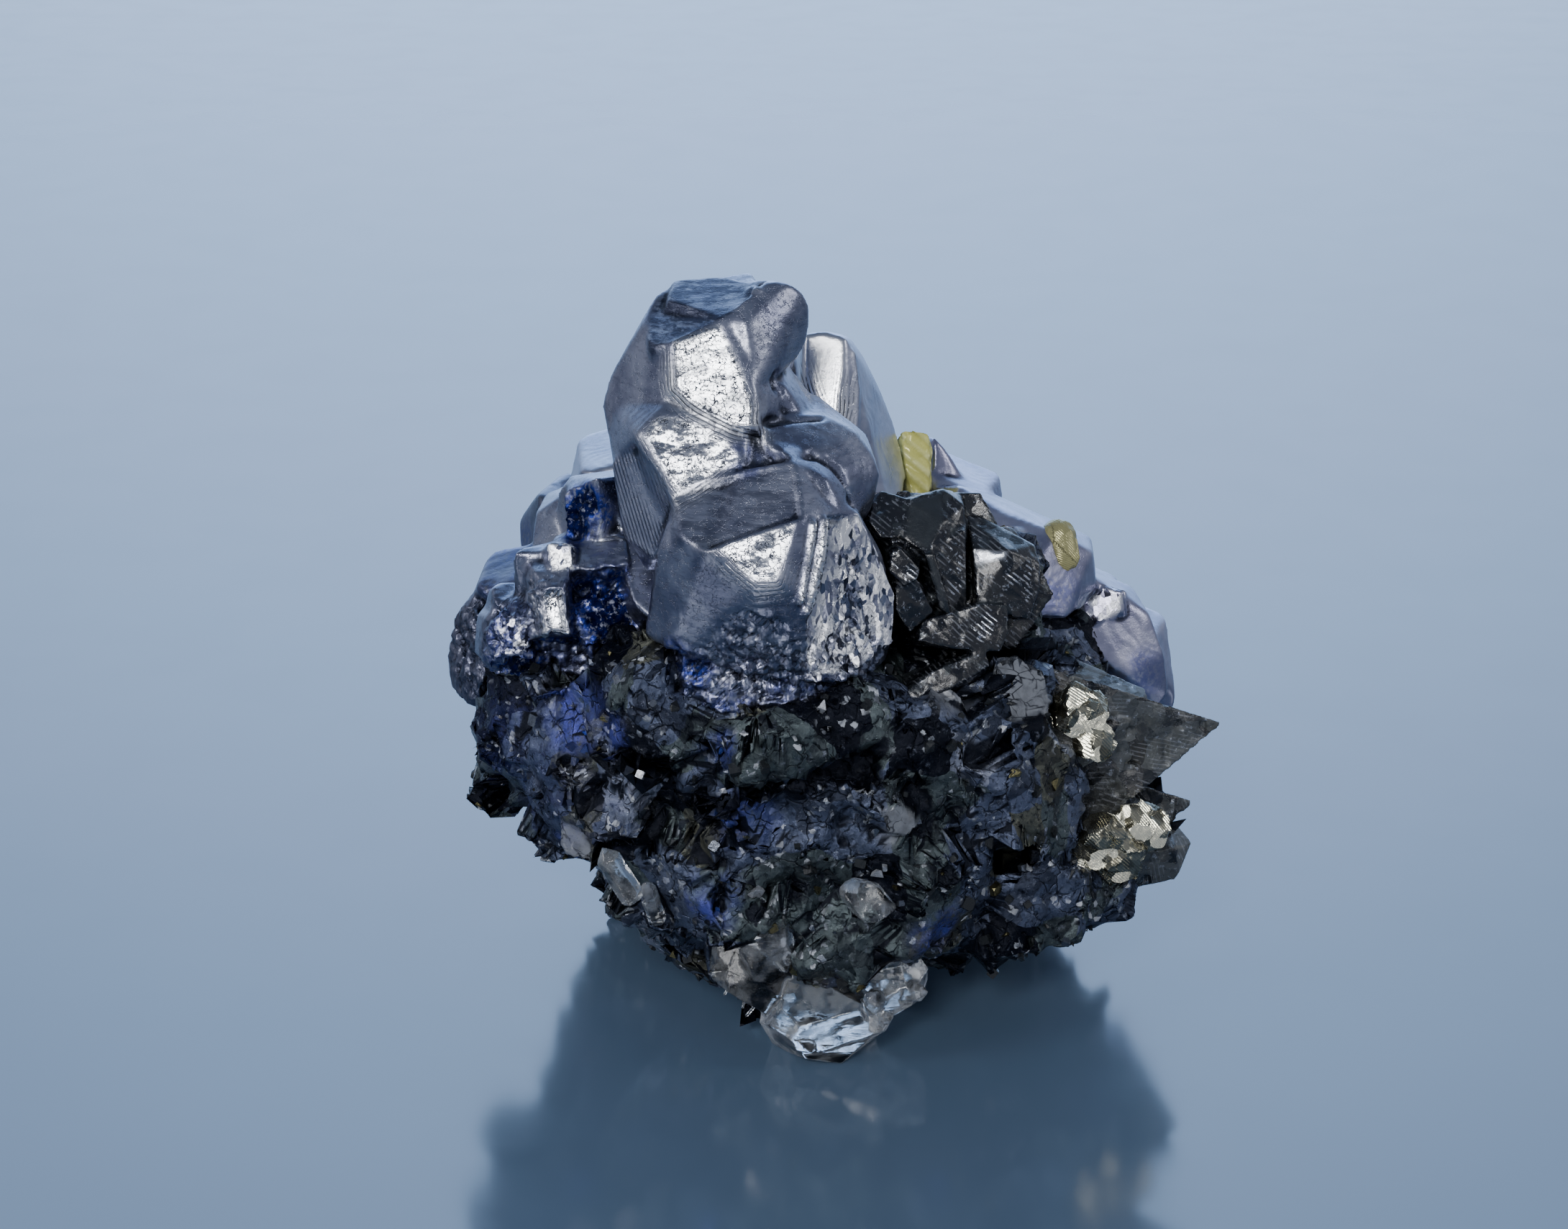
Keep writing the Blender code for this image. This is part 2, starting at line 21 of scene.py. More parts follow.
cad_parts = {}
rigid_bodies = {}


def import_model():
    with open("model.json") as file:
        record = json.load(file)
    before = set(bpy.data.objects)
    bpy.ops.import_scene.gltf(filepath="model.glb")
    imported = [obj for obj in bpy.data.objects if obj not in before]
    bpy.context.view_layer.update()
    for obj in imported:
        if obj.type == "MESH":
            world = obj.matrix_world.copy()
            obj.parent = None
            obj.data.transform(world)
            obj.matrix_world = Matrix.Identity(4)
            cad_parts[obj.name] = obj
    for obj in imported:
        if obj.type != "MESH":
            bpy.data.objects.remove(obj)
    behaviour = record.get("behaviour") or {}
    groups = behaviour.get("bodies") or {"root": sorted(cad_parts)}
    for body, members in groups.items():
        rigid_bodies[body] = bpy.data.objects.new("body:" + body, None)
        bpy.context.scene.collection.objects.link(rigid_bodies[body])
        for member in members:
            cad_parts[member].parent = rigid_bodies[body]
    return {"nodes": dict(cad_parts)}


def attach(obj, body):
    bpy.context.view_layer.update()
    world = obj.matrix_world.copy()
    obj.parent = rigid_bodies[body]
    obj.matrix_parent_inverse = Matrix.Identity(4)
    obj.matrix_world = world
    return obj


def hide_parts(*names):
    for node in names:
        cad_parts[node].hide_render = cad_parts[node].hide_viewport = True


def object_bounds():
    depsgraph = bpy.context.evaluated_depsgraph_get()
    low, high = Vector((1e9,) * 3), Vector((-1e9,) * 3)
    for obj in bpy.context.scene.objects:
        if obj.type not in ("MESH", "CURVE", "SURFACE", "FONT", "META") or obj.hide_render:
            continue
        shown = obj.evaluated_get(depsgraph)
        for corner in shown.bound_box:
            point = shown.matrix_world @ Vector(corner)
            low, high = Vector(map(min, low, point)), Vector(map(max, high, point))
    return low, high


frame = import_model()
CAD_BOX = [list(corner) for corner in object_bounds()]

MM = 0.001
BODY = "root"
LOG = logging.getLogger("specimen")

# The values that a surface carries for its material.
TARNISH = "tarnish"
GROWTH = "growth"
TONE = "tone"
HOLLOW = "hollow"
RIM = "rim"
GRANULAR = "granular"
SHARE = "share"

# The ways that crystal faces turn: to the key light's mirror image, to the same at the right, to the viewer.
MIRROR_WAY = (-0.087, -0.903, 0.42)
RIGHT_WAY = (-0.14, -0.89, 0.433)
VIEW_WAY = (0.0, -0.94, 0.34)

# How the stripes of the striated crystals run.
STRIPES = (0.62, 0.27, 0.74)

# The numbers that random values are made of.
AXIS_PRIMES = (374761393, 668265263, 1274126177)
SEED_PRIME = 982451653
MIXING_FACTOR = 1103515245
GREATEST_HASH = 0xFFFFFF
SEED_SHIFT = 31.7

# Points of the CAD that are nearer than this, in metres, are one.
WELD = 1e-7

Array = np.ndarray
Colour = tuple[float, float, float]
Point = tuple[float, float, float]
Stops = tuple[tuple[float, Colour], ...]
Socket = bpy.types.NodeSocket
Input = float | Colour | Socket


class Mineral(Enum):
    """The minerals, named as the record's material slots."""

    ROCK = "matrix"
    GALENA = "galena"
    SPHALERITE = "sphalerite"
    CHALCOPYRITE = "chalcopyrite"
    QUARTZ = "quartz"


class Lustre(Enum):
    """How a crystal face looks: each is the name of the layer that marks it."""

    MIRROR = "plate"
    DUSKY = "dusk"
    RIBBED = "ribbed"
    FLECKED = "fleck"


class Habit(Enum):
    """The shapes of the small crystals that grow on the rock."""

    BROKEN = "broken"
    BLOCK = "block"
    NEEDLE = "needle"


# ---------------------------------------------------------------------------- fields of values


def hashed(cells: Array, seed: int) -> Array:
    """A random value from 0 to 1 for each whole-numbered cell."""
    mixed = cells @ np.array(AXIS_PRIMES) + seed * SEED_PRIME
    mixed = (mixed ^ (mixed >> 13)) * MIXING_FACTOR
    mixed = (mixed ^ (mixed >> 16)) & GREATEST_HASH
    return mixed / GREATEST_HASH


def lattice_noise(points: Array, size: float, seed: int) -> Array:
    """Smooth noise.

    Args:
        points: places, in millimetres.
        size: distance between the noise's features, in millimetres.
        seed: picks the noise.

    Returns:
        One value from -1 to 1 for each place.
    """
    place = points / size + SEED_SHIFT * seed
    base = np.floor(place).astype(np.int64)
    part = place - base
    fade = part * part * (3 - 2 * part)
    total = np.zeros(len(points))
    for corner in product((0, 1), repeat=3):
        weight = np.prod(np.where(corner, fade, 1 - fade), axis=1)
        total += weight * (2 * hashed(base + corner, seed) - 1)
    return total


def cells(points: Array, size: float, seed: int) -> tuple[Array, Array, Array]:
    """Divides space into irregular grains.

    Args:
        points: places, in millimetres.
        size: width of a grain, in millimetres.
        seed: picks the grains.

    Returns:
        For each place, the vector from its grain's middle, the distance to the grain's edge,
        and three random values from -1 to 1 that the grain's places share.
    """
    place = points / size
    base = np.floor(place).astype(np.int64)
    nearest = np.full(len(points), np.inf)
    second = np.full(len(points), np.inf)
    offset = np.zeros_like(points)
    owner = np.zeros_like(base)
    for step in product((-1, 0, 1), repeat=3):
        cell = base + step
        away = place - (cell + np.stack([hashed(cell, seed + axis) for axis in range(3)], axis=1))
        distance = dots(away, away)
        closer = distance < nearest
        second = np.where(closer, nearest, np.minimum(second, distance))
        nearest = np.where(closer, distance, nearest)
        offset[closer] = away[closer]
        owner[closer] = cell[closer]
    edge = (np.sqrt(second) - np.sqrt(nearest)) * size
    tilt = np.stack([2 * hashed(owner, seed + 7 + axis) - 1 for axis in range(3)], axis=1)
    return offset * size, edge, tilt


def dots(first: Array, second: Array) -> Array:
    """The dot products of two arrays' rows."""
    return np.einsum("ij,ij->i", first, second)


def unit(way: Point) -> Array:
    """A direction, one long."""
    return np.array(Vector(way).normalized())


def near_line(gap: Array, width: float) -> Array:
    """1 on a line, falling to 0 over a width on both of its sides."""
    return np.exp(-((gap / width) ** 2))


def read(parts: bpy.types.bpy_prop_collection, key: str, width: int = 3, kind: type = np.float32) -> Array:
    """A property of a mesh's points or edges, as an array with a row for each."""
    values = np.empty(len(parts) * width, kind)
    parts.foreach_get(key, values)
    return values.reshape(-1, width)


def move_points(mesh: bpy.types.Mesh, points: Array) -> None:
    """Puts a mesh's points in new places."""
    mesh.vertices.foreach_set("co", points.astype(np.float32).ravel())
    mesh.update()


# ---------------------------------------------------------------------------- forms and marks


@dataclass(frozen=True)
class Hull:
    """A crystal grown over a group: the convex body round its corners."""

    corners: tuple[Point, ...]

    def add(self, bm: bmesh.types.BMesh) -> None:
        """Adds the body to a mesh in millimetres."""
        made = bmesh.ops.convex_hull(bm, input=[bm.verts.new(corner) for corner in self.corners])
        inner = {part for part in made["geom_interior"] + made["geom_unused"] if isinstance(part, bmesh.types.BMVert)}
        bmesh.ops.delete(bm, geom=list(inner), context="VERTS")


@dataclass(frozen=True)
class Arch:
    """A smooth rounded growth along a path."""

    path: tuple[Point, ...]
    radius: float

    def add(self, bm: bmesh.types.BMesh) -> None:
        """Adds the body to a mesh in millimetres, as a row of balls that overlap."""
        spacing = 0.3 * self.radius
        for start, end in zip(map(Vector, self.path[:-1]), map(Vector, self.path[1:])):
            count = max(1, round((end - start).length / spacing))
            for step in range(count):
                place = Matrix.Translation(start.lerp(end, step / count))
                bmesh.ops.create_icosphere(bm, subdivisions=2, radius=self.radius, matrix=place)


@dataclass(frozen=True)
class Patch:
    """A round patch of tarnish or crust: its middle, how far it reaches, and how strong it is."""

    middle: Point
    reach: float
    strength: float = 1.0

    def at(self, points: Array) -> Array:
        """The patch's strength at each point, fading to 0 just past its reach."""
        away = np.linalg.norm(points - np.array(self.middle), axis=1) / self.reach
        return self.strength * np.clip(1.2 - away**2, 0, 1)


@dataclass(frozen=True)
class Seam:
    """A crack along a path on the surface, or a ridge where its depth is below 0."""

    path: tuple[Point, ...]
    width: float
    depth: float

    def at(self, points: Array) -> Array:
        """How deep the crack is at each point, in millimetres."""
        line = np.array(self.path)
        away = np.full(len(points), np.inf)
        for start, end in zip(line[:-1], line[1:]):
            run = end - start
            share = np.clip(((points - start) @ run) / (run @ run), 0, 1)
            away = np.minimum(away, np.linalg.norm(points - start - share[:, None] * run, axis=1))
        return self.depth * near_line(away, self.width)


@dataclass(frozen=True)
class Face:
    """A crystal face: its corners in order, the way it faces, how far it may move the surface, and how it shines."""

    SOFT_EDGE: ClassVar[float] = 0.35
    FADES_AT: ClassVar[float] = 2.2

    corners: tuple[Point, ...]
    facing: Point
    play: float = 1.2
    lustre: Lustre = Lustre.MIRROR
    strength: float = 1.0

    def level(self, points: Array) -> Array:
        """How far each point stands in front of the face's plane."""
        return (points - np.mean(self.corners, axis=0)) @ unit(self.facing)

    def inside(self, points: Array) -> Array:
        """How far inside the face's outline each point is, seen square on; below 0 outside."""
        corners = np.array(self.corners)
        middle = corners.mean(axis=0)
        least = np.full(len(points), np.inf)
        for start, end in zip(corners, np.roll(corners, -1, axis=0)):
            inward = np.cross(unit(self.facing), end - start)
            inward /= np.linalg.norm(inward)
            if (middle - start) @ inward < 0:
                inward = -inward
            least = np.minimum(least, (points - start) @ inward)
        return least

    def share(self, points: Array) -> Array:
        """How far each point belongs to the face, from 0 to 1. It fades at the outline, and off the plane."""
        near = np.clip(self.FADES_AT - np.abs(self.level(points)) / self.play, 0, 1)
        return np.clip(self.inside(points) / self.SOFT_EDGE, 0, 1) * near

    def at(self, points: Array) -> Array:
        """How strongly the face marks each point."""
        return self.strength * self.share(points)

    def flatten(self, points: Array) -> Array:
        """Moves the points that belong to the face on to its plane."""
        shift = np.clip(self.level(points), -self.play, self.play) * self.share(points)
        return points - shift[:, None] * unit(self.facing)


def gathered(parts: tuple[Patch | Seam | Face, ...], points: Array, pick: np.ufunc = np.maximum) -> Array:
    """The most, or the least, that any of the parts gives each point, and 0 where none gives any."""
    return pick.reduce([np.zeros(len(points)), *(part.at(points) for part in parts)])


def tarnish_of(points: Array, patches: tuple[Patch, ...], seed: int) -> Array:
    """Blue tarnish: the patches, broken up by noise. Above 1 it darkens."""
    broken = 0.62 + 0.55 * lattice_noise(points, 2.1, seed) + 0.4 * lattice_noise(points, 0.8, seed + 1)
    return np.clip(gathered(patches, points) * broken, 0, 2)


# ---------------------------------------------------------------------------- surfaces


class Surface:
    """A closed, evenly meshed copy of a CAD node, in millimetres."""

    NORMALS_LAST: ClassVar[int] = 6

    def __init__(
        self, node: str, voxel: float, growths: tuple[Hull | Arch, ...] = (), cut: tuple[Point, Point] | None = None
    ) -> None:
        """Copies a CAD node and meshes it anew.

        Args:
            node: the CAD node.
            voxel: spacing of the new mesh's points, in millimetres.
            growths: smaller forms that are merged with it.
            cut: a point and the outward normal of a plane; what lies beyond it is left to the growths.
        """
        self.node = node
        bm = bmesh.new()
        bm.from_mesh(frame["nodes"][node].data)
        bmesh.ops.remove_doubles(bm, verts=bm.verts[:], dist=WELD)
        bm.transform(Matrix.Scale(1 / MM, 4))
        if cut:
            everything = bm.verts[:] + bm.edges[:] + bm.faces[:]
            bmesh.ops.bisect_plane(bm, geom=everything, plane_co=cut[0], plane_no=cut[1], clear_outer=True)
            bmesh.ops.holes_fill(bm, edges=[edge for edge in bm.edges if edge.is_boundary])
        for growth in growths:
            growth.add(bm)
        carrier = linked(node + "_carrier", mesh_of(bm, node + "_coarse"))
        remesh = carrier.modifiers.new("even", "REMESH")
        remesh.mode = "VOXEL"
        remesh.voxel_size = voxel
        self.mesh = evaluated_mesh(carrier)
        self.points = read(self.mesh.vertices, "co").astype(float)
        self.edges = read(self.mesh.edges, "vertices", 2, np.int32)
        self.degree = np.maximum(np.bincount(self.edges.ravel(), minlength=len(self.points)), 1)
        self.layers: dict[str, Array] = {}

    def normals(self) -> Array:
        """Unit normals of the points, as the mesh stands."""
        move_points(self.mesh, self.points)
        return read(self.mesh.vertices, "normal").astype(float)

    def neighbour_mean(self, values: Array) -> Array:
        """The mean of each point's neighbours, for values of one or three columns."""
        first, last = self.edges.T
        sums = [
            sum(np.bincount(a, weights=column[b], minlength=len(values)) for a, b in ((first, last), (last, first)))
            for column in values.reshape(len(values), -1).T
        ]
        return (np.stack(sums, axis=1) / self.degree[:, None]).reshape(values.shape)

    def melt(self, rounds: int, crease: float = 0.15) -> None:
        """Rounds the outward edges and leaves the creases between crystals sharp.

        Args:
            rounds: how often the points move half way to their neighbours.
            crease: share of that move in a hollow.
        """
        for step in range(rounds):
            if step % self.NORMALS_LAST == 0:
                normals = self.normals()
            move = self.neighbour_mean(self.points) - self.points
            self.points += move * np.where(dots(move, normals) > 0, 0.5 * crease, 0.5)[:, None]

    def chisel(self, size: float, keep: float, lean: float, seed: int) -> None:
        """Breaks the surface into flat chips that lean at random.

        Args:
            size: width of a chip, in millimetres.
            keep: share of the way that the points move to their chip's plane.
            lean: how far the chips lean.
            seed: picks the chips.
        """
        warp = np.stack([lattice_noise(self.points, 0.8 * size, seed + axis) for axis in range(3)], axis=1)
        _, _, tilt = cells(self.points + 0.25 * size * warp, size, seed)
        _, chip = np.unique(np.round(tilt * 1e4).astype(np.int64), axis=0, return_inverse=True)
        chip = chip.reshape(-1)
        middle, facing = (
            np.stack([np.bincount(chip, weights=column) for column in values.T], axis=1) / np.bincount(chip)[:, None]
            for values in (self.points, self.normals())
        )
        facing = facing[chip] + lean * tilt
        facing /= np.linalg.norm(facing, axis=1)[:, None]
        shift = dots(self.points - middle[chip], facing)
        self.points -= (keep * np.clip(shift, -0.5 * size, 0.5 * size))[:, None] * facing

    def raise_by(self, height: Array) -> None:
        """Moves each point along its normal by a height in millimetres."""
        self.points += self.normals() * height[:, None]

    def hollow(self, reach: int) -> Array:
        """How deep each point lies among its surroundings, from 0 on a ridge to 1 in a crevice."""
        normals = self.normals()
        inward = dots(self.neighbour_mean(self.points) - self.points, normals)
        for _ in range(reach):
            inward = self.neighbour_mean(inward)
        spread = np.percentile(np.abs(inward), 90) or 1.0
        return np.clip(0.5 + 0.5 * inward / spread, 0, 1)

    def mark(self, marks: dict[Lustre, Array]) -> None:
        """Keeps how far each point belongs to faces of each lustre."""
        self.layers.update({lustre.value: mark for lustre, mark in marks.items()})

    def finish(self, name: str, mineral: Mineral, material: bpy.types.Material) -> bpy.types.Object:
        """Makes the piece that stands for the CAD node.

        Args:
            name: the piece's name.
            mineral: which mineral it is, passed on to the log.
            material: what it is made of.

        Returns:
            The finished object, riding on the specimen's body.
        """
        for layer, values in self.layers.items():
            self.mesh.attributes.new(layer, "FLOAT", "POINT").data.foreach_set("value", values.astype(np.float32))
        self.mesh.materials.clear()
        self.mesh.materials.append(material)
        self.mesh.shade_smooth()
        return piece_of(name, self.mesh, self.points * MM, mineral, self.node)


def mesh_of(bm: bmesh.types.BMesh, name: str) -> bpy.types.Mesh:
    """Turns a mesh that is being edited into a finished one."""
    mesh = bpy.data.meshes.new(name)
    bm.to_mesh(mesh)
    bm.free()
    return mesh


def linked(name: str, data: bpy.types.ID) -> bpy.types.Object:
    """Makes an object of some data and puts it in the scene."""
    made = bpy.data.objects.new(name, data)
    bpy.context.scene.collection.objects.link(made)
    return made


def evaluated_mesh(carrier: bpy.types.Object) -> bpy.types.Mesh:
    """The mesh that an object's modifiers give, as a mesh of its own. The object goes."""
    graph = bpy.context.evaluated_depsgraph_get()
    mesh = bpy.data.meshes.new_from_object(carrier.evaluated_get(graph))
    bpy.data.objects.remove(carrier)
    return mesh


def piece_of(name: str, mesh: bpy.types.Mesh, points: Array, mineral: Mineral, *nodes: str) -> bpy.types.Object:
    """Makes a piece of the specimen, kept inside the CAD's box.

    Args:
        name: the piece's name.
        mesh: its mesh.
        points: where the mesh's points go, in metres.
        mineral: which mineral it is, shown in the log.
        nodes: the CAD nodes that it replaces, if any.

    Returns:
        The object.
    """
    move_points(mesh, np.clip(points, *np.array(CAD_BOX)))
    mesh.name = name
    piece = linked(name, mesh)
    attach(piece, BODY)
    if nodes:
        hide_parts(*nodes)
    LOG.info("%s: %d faces, %s", name, len(mesh.polygons), mineral.name.lower())
    return piece


# ---------------------------------------------------------------------------- nodes


class Graph:
    """A node tree that is being built."""

    def __init__(self, tree: bpy.types.NodeTree) -> None:
        """Takes the tree."""
        self.tree = tree

    def put(self, socket: Socket, value: object) -> None:
        """Gives an input a constant or another node's socket."""
        if isinstance(value, Socket):
            self.tree.links.new(value, socket)
        elif socket.type == "RGBA":
            socket.default_value = (*value, 1.0)
        else:
            socket.default_value = value

    def add(self, kind: str, values: dict[str | int, object] | None = None, **settings: object) -> bpy.types.Node:
        """Adds a node.

        Args:
            kind: the node's type.
            values: its inputs, each a constant or another node's socket.
            settings: the node's own properties.

        Returns:
            The node.
        """
        node = self.tree.nodes.new(kind)
        for key, setting in settings.items():
            setattr(node, key, setting)
        for key, value in (values or {}).items():
            self.put(node.inputs[key], value)
        return node

    def math(self, operation: str, *values: Input) -> Socket:
        """Arithmetic on values, from the first to the last."""
        result = values[0]
        for value in values[1:]:
            result = self.add("ShaderNodeMath", {0: result, 1: value}, operation=operation).outputs[0]
        return result

    def times(self, *values: Input) -> Socket:
        """The product of values."""
        return self.math("MULTIPLY", *values)

    def plus(self, *values: Input) -> Socket:
        """The sum of values."""
        return self.math("ADD", *values)

    def less(self, first: Input, second: Input) -> Socket:
        """The first value without the second."""
        return self.math("SUBTRACT", first, second)

    def most(self, *values: Input) -> Socket:
        """The greatest of values."""
        return self.math("MAXIMUM", *values)

    def total(self, *terms: tuple[Socket, float]) -> Socket:
        """Adds values, each times its weight."""
        return self.plus(*[self.times(value, weight) for value, weight in terms])

    def vector(self, operation: str, first: Input, second: Input = (0, 0, 0)) -> Socket:
        """Arithmetic on two places or directions."""
        return self.add("ShaderNodeVectorMath", {0: first, 1: second}, operation=operation).outputs[0]

    def fit(
        self, value: Socket, low: float, high: float, start: Input = 0.0, end: Input = 1.0, kind: str = "SMOOTHSTEP"
    ) -> Socket:
        """Maps a value's range to another range, smoothly or by another kind of step."""
        values = {"Value": value, "From Min": low, "From Max": high, "To Min": start, "To Max": end}
        return self.add("ShaderNodeMapRange", values, interpolation_type=kind).outputs[0]

    def mix(self, share: Input, first: Input, second: Input, blend: str = "MIX") -> Socket:
        """Mixes two colours."""
        values = {0: share, 6: first, 7: second}
        return self.add("ShaderNodeMix", values, data_type="RGBA", blend_type=blend, clamp_factor=True).outputs[2]

    def layered(self, body: Input, *coats: tuple[Input, Input]) -> Socket:
        """Lays coats over a colour, each by its share."""
        for share, coat in coats:
            body = self.mix(share, body, coat)
        return body

    def palette(self, value: Socket, *stops: tuple[float, Colour], stepped: bool = False) -> Socket:
        """Turns a value into colours, from the stops' places and colours."""
        node = self.add("ShaderNodeValToRGB", {0: value})
        ramp = node.color_ramp
        ramp.interpolation = "CONSTANT" if stepped else "LINEAR"
        while len(ramp.elements) < len(stops):
            ramp.elements.new(1.0)
        for element, (place, colour) in zip(ramp.elements, stops):
            element.position = place
            element.color = (*colour, 1.0)
        return node.outputs[0]


class Nodes(Graph):
    """One material's nodes, with its patterns measured in millimetres."""

    def __init__(self, name: str) -> None:
        """Starts a material whose patterns follow the object's own coordinates."""
        self.material = bpy.data.materials.new(name)
        self.material.use_nodes = True
        super().__init__(self.material.node_tree)
        self.place = self.stretch((1.0, 1.0, 1.0))

    def set(self, **values: Input) -> bpy.types.Material:
        """Sets the shader's inputs, where Base_Color stands for Base Color, and returns the material."""
        for key, value in values.items():
            self.put(self.tree.nodes["Principled BSDF"].inputs[key.replace("_", " ")], value)
        return self.material

    def stretch(self, size: Point, turn: Point = (0, 0, 0)) -> Socket:
        """The place in millimetres, turned by degrees and divided by a size along each axis."""
        coords = self.add("ShaderNodeTexCoord").outputs["Object"]
        scale = tuple(1 / MM / axis for axis in size)
        values = {"Vector": coords, "Rotation": tuple(map(math.radians, turn)), "Scale": scale}
        return self.add("ShaderNodeMapping", values, vector_type="POINT").outputs[0]

    def texture(self, kind: str, size: float, place: Socket | None = None, **values: float) -> bpy.types.Node:
        """A texture whose features have a size in millimetres."""
        return self.add("ShaderNodeTex" + kind, {"Vector": place or self.place, "Scale": 1 / size, **values})

    def noise(self, size: float, detail: float = 3.0, rough: float = 0.55, place: Socket | None = None) -> Socket:
        """Noise from 0 to 1 with features of a size in millimetres."""
        return self.texture("Noise", size, place, Detail=detail, Roughness=rough).outputs["Fac"]

    def cloud(self, size: float, detail: float, *fit: float, rough: float = 0.55) -> Socket:
        """Noise of a size in millimetres, mapped smoothly from a range to another, as fit does."""
        return self.fit(self.noise(size, detail, rough), *fit)

    def warped(self, size: float, amount: float) -> Socket:
        """The place, pushed about by noise of a size, by an amount in millimetres."""
        noise = self.texture("Noise", size, Detail=2.0).outputs["Color"]
        return self.vector("ADD", self.place, self.scaled(self.centred(noise), amount))

    def grains(self, size: float, place: Socket | None = None) -> Socket:
        """Irregular grains of a size in millimetres, each of a random colour."""
        return self.texture("Voronoi", size, place).outputs["Color"]

    def cracks(self, size: float, width: float, place: Socket | None = None) -> Socket:
        """1 on the seams between grains of a size in millimetres, and 0 beyond a share of it."""
        seams = self.texture("Voronoi", size, place)
        seams.feature = "DISTANCE_TO_EDGE"
        return self.fit(seams.outputs["Distance"], 0.0, width, 1.0, 0.0)

    def waves(self, value: Socket, gap: float) -> Socket:
        """Waves from -1 to 1 along a value, with a gap between them."""
        return self.math("SINE", self.times(value, math.tau / gap), 0.0)

    def channel(self, colour: Socket, index: int) -> Socket:
        """One channel of a colour or a place."""
        return self.add("ShaderNodeSeparateColor", {0: colour}).outputs[index]

    def attribute(self, name: str) -> Socket:
        """A value stored on the piece."""
        return self.add("ShaderNodeAttribute", attribute_name=name).outputs["Fac"]

    def marks(self, *lustres: Lustre) -> list[Socket]:
        """How far the surface belongs to faces of each lustre."""
        return [self.attribute(lustre.value) for lustre in lustres]

    def centred(self, colour: Socket) -> Socket:
        """A random colour as a direction about 0."""
        return self.vector("SUBTRACT", colour, (0.5, 0.5, 0.5))

    def scaled(self, way: Socket, amount: Input) -> Socket:
        """A direction times an amount."""
        return self.add("ShaderNodeVectorMath", {0: way, "Scale": amount}, operation="SCALE").outputs[0]

    def levels(self, value: Socket, *stops: tuple[float, float]) -> Socket:
        """Turns a value into steps, from the stops' places and values."""
        return self.channel(self.palette(value, *[(place, (level,) * 3) for place, level in stops], stepped=True), 0)

    def relief(self, height: Socket, normal: Socket | None = None) -> Socket:
        """A bump from a height in millimetres."""
        values = {"Height": height, "Strength": 1.0, "Distance": MM}
        return self.add("ShaderNodeBump", values if normal is None else {**values, "Normal": normal}).outputs[0]

    def sparkle(self, grains: Socket, amount: Input, normal: Socket | None = None) -> Socket:
        """The surface's normal, or another one, leaning a random way in each grain."""
        normal = normal or self.add("ShaderNodeNewGeometry").outputs["Normal"]
        return self.leaning(normal, self.centred(grains), amount)

    def toward(self, normal: Socket, way: Point, amount: Input) -> Socket:
        """A normal turned by an amount towards a direction in the object's own axes."""
        aim = self.add("ShaderNodeVectorTransform", {"Vector": way}, vector_type="NORMAL", convert_from="OBJECT")
        return self.leaning(normal, aim.outputs[0], amount)

    def leaning(self, normal: Socket, way: Socket, amount: Input) -> Socket:
        """A normal with a direction added to it by an amount."""
        return self.vector("NORMALIZE", self.vector("ADD", normal, self.scaled(way, amount)))


# ---------------------------------------------------------------------------- finishes


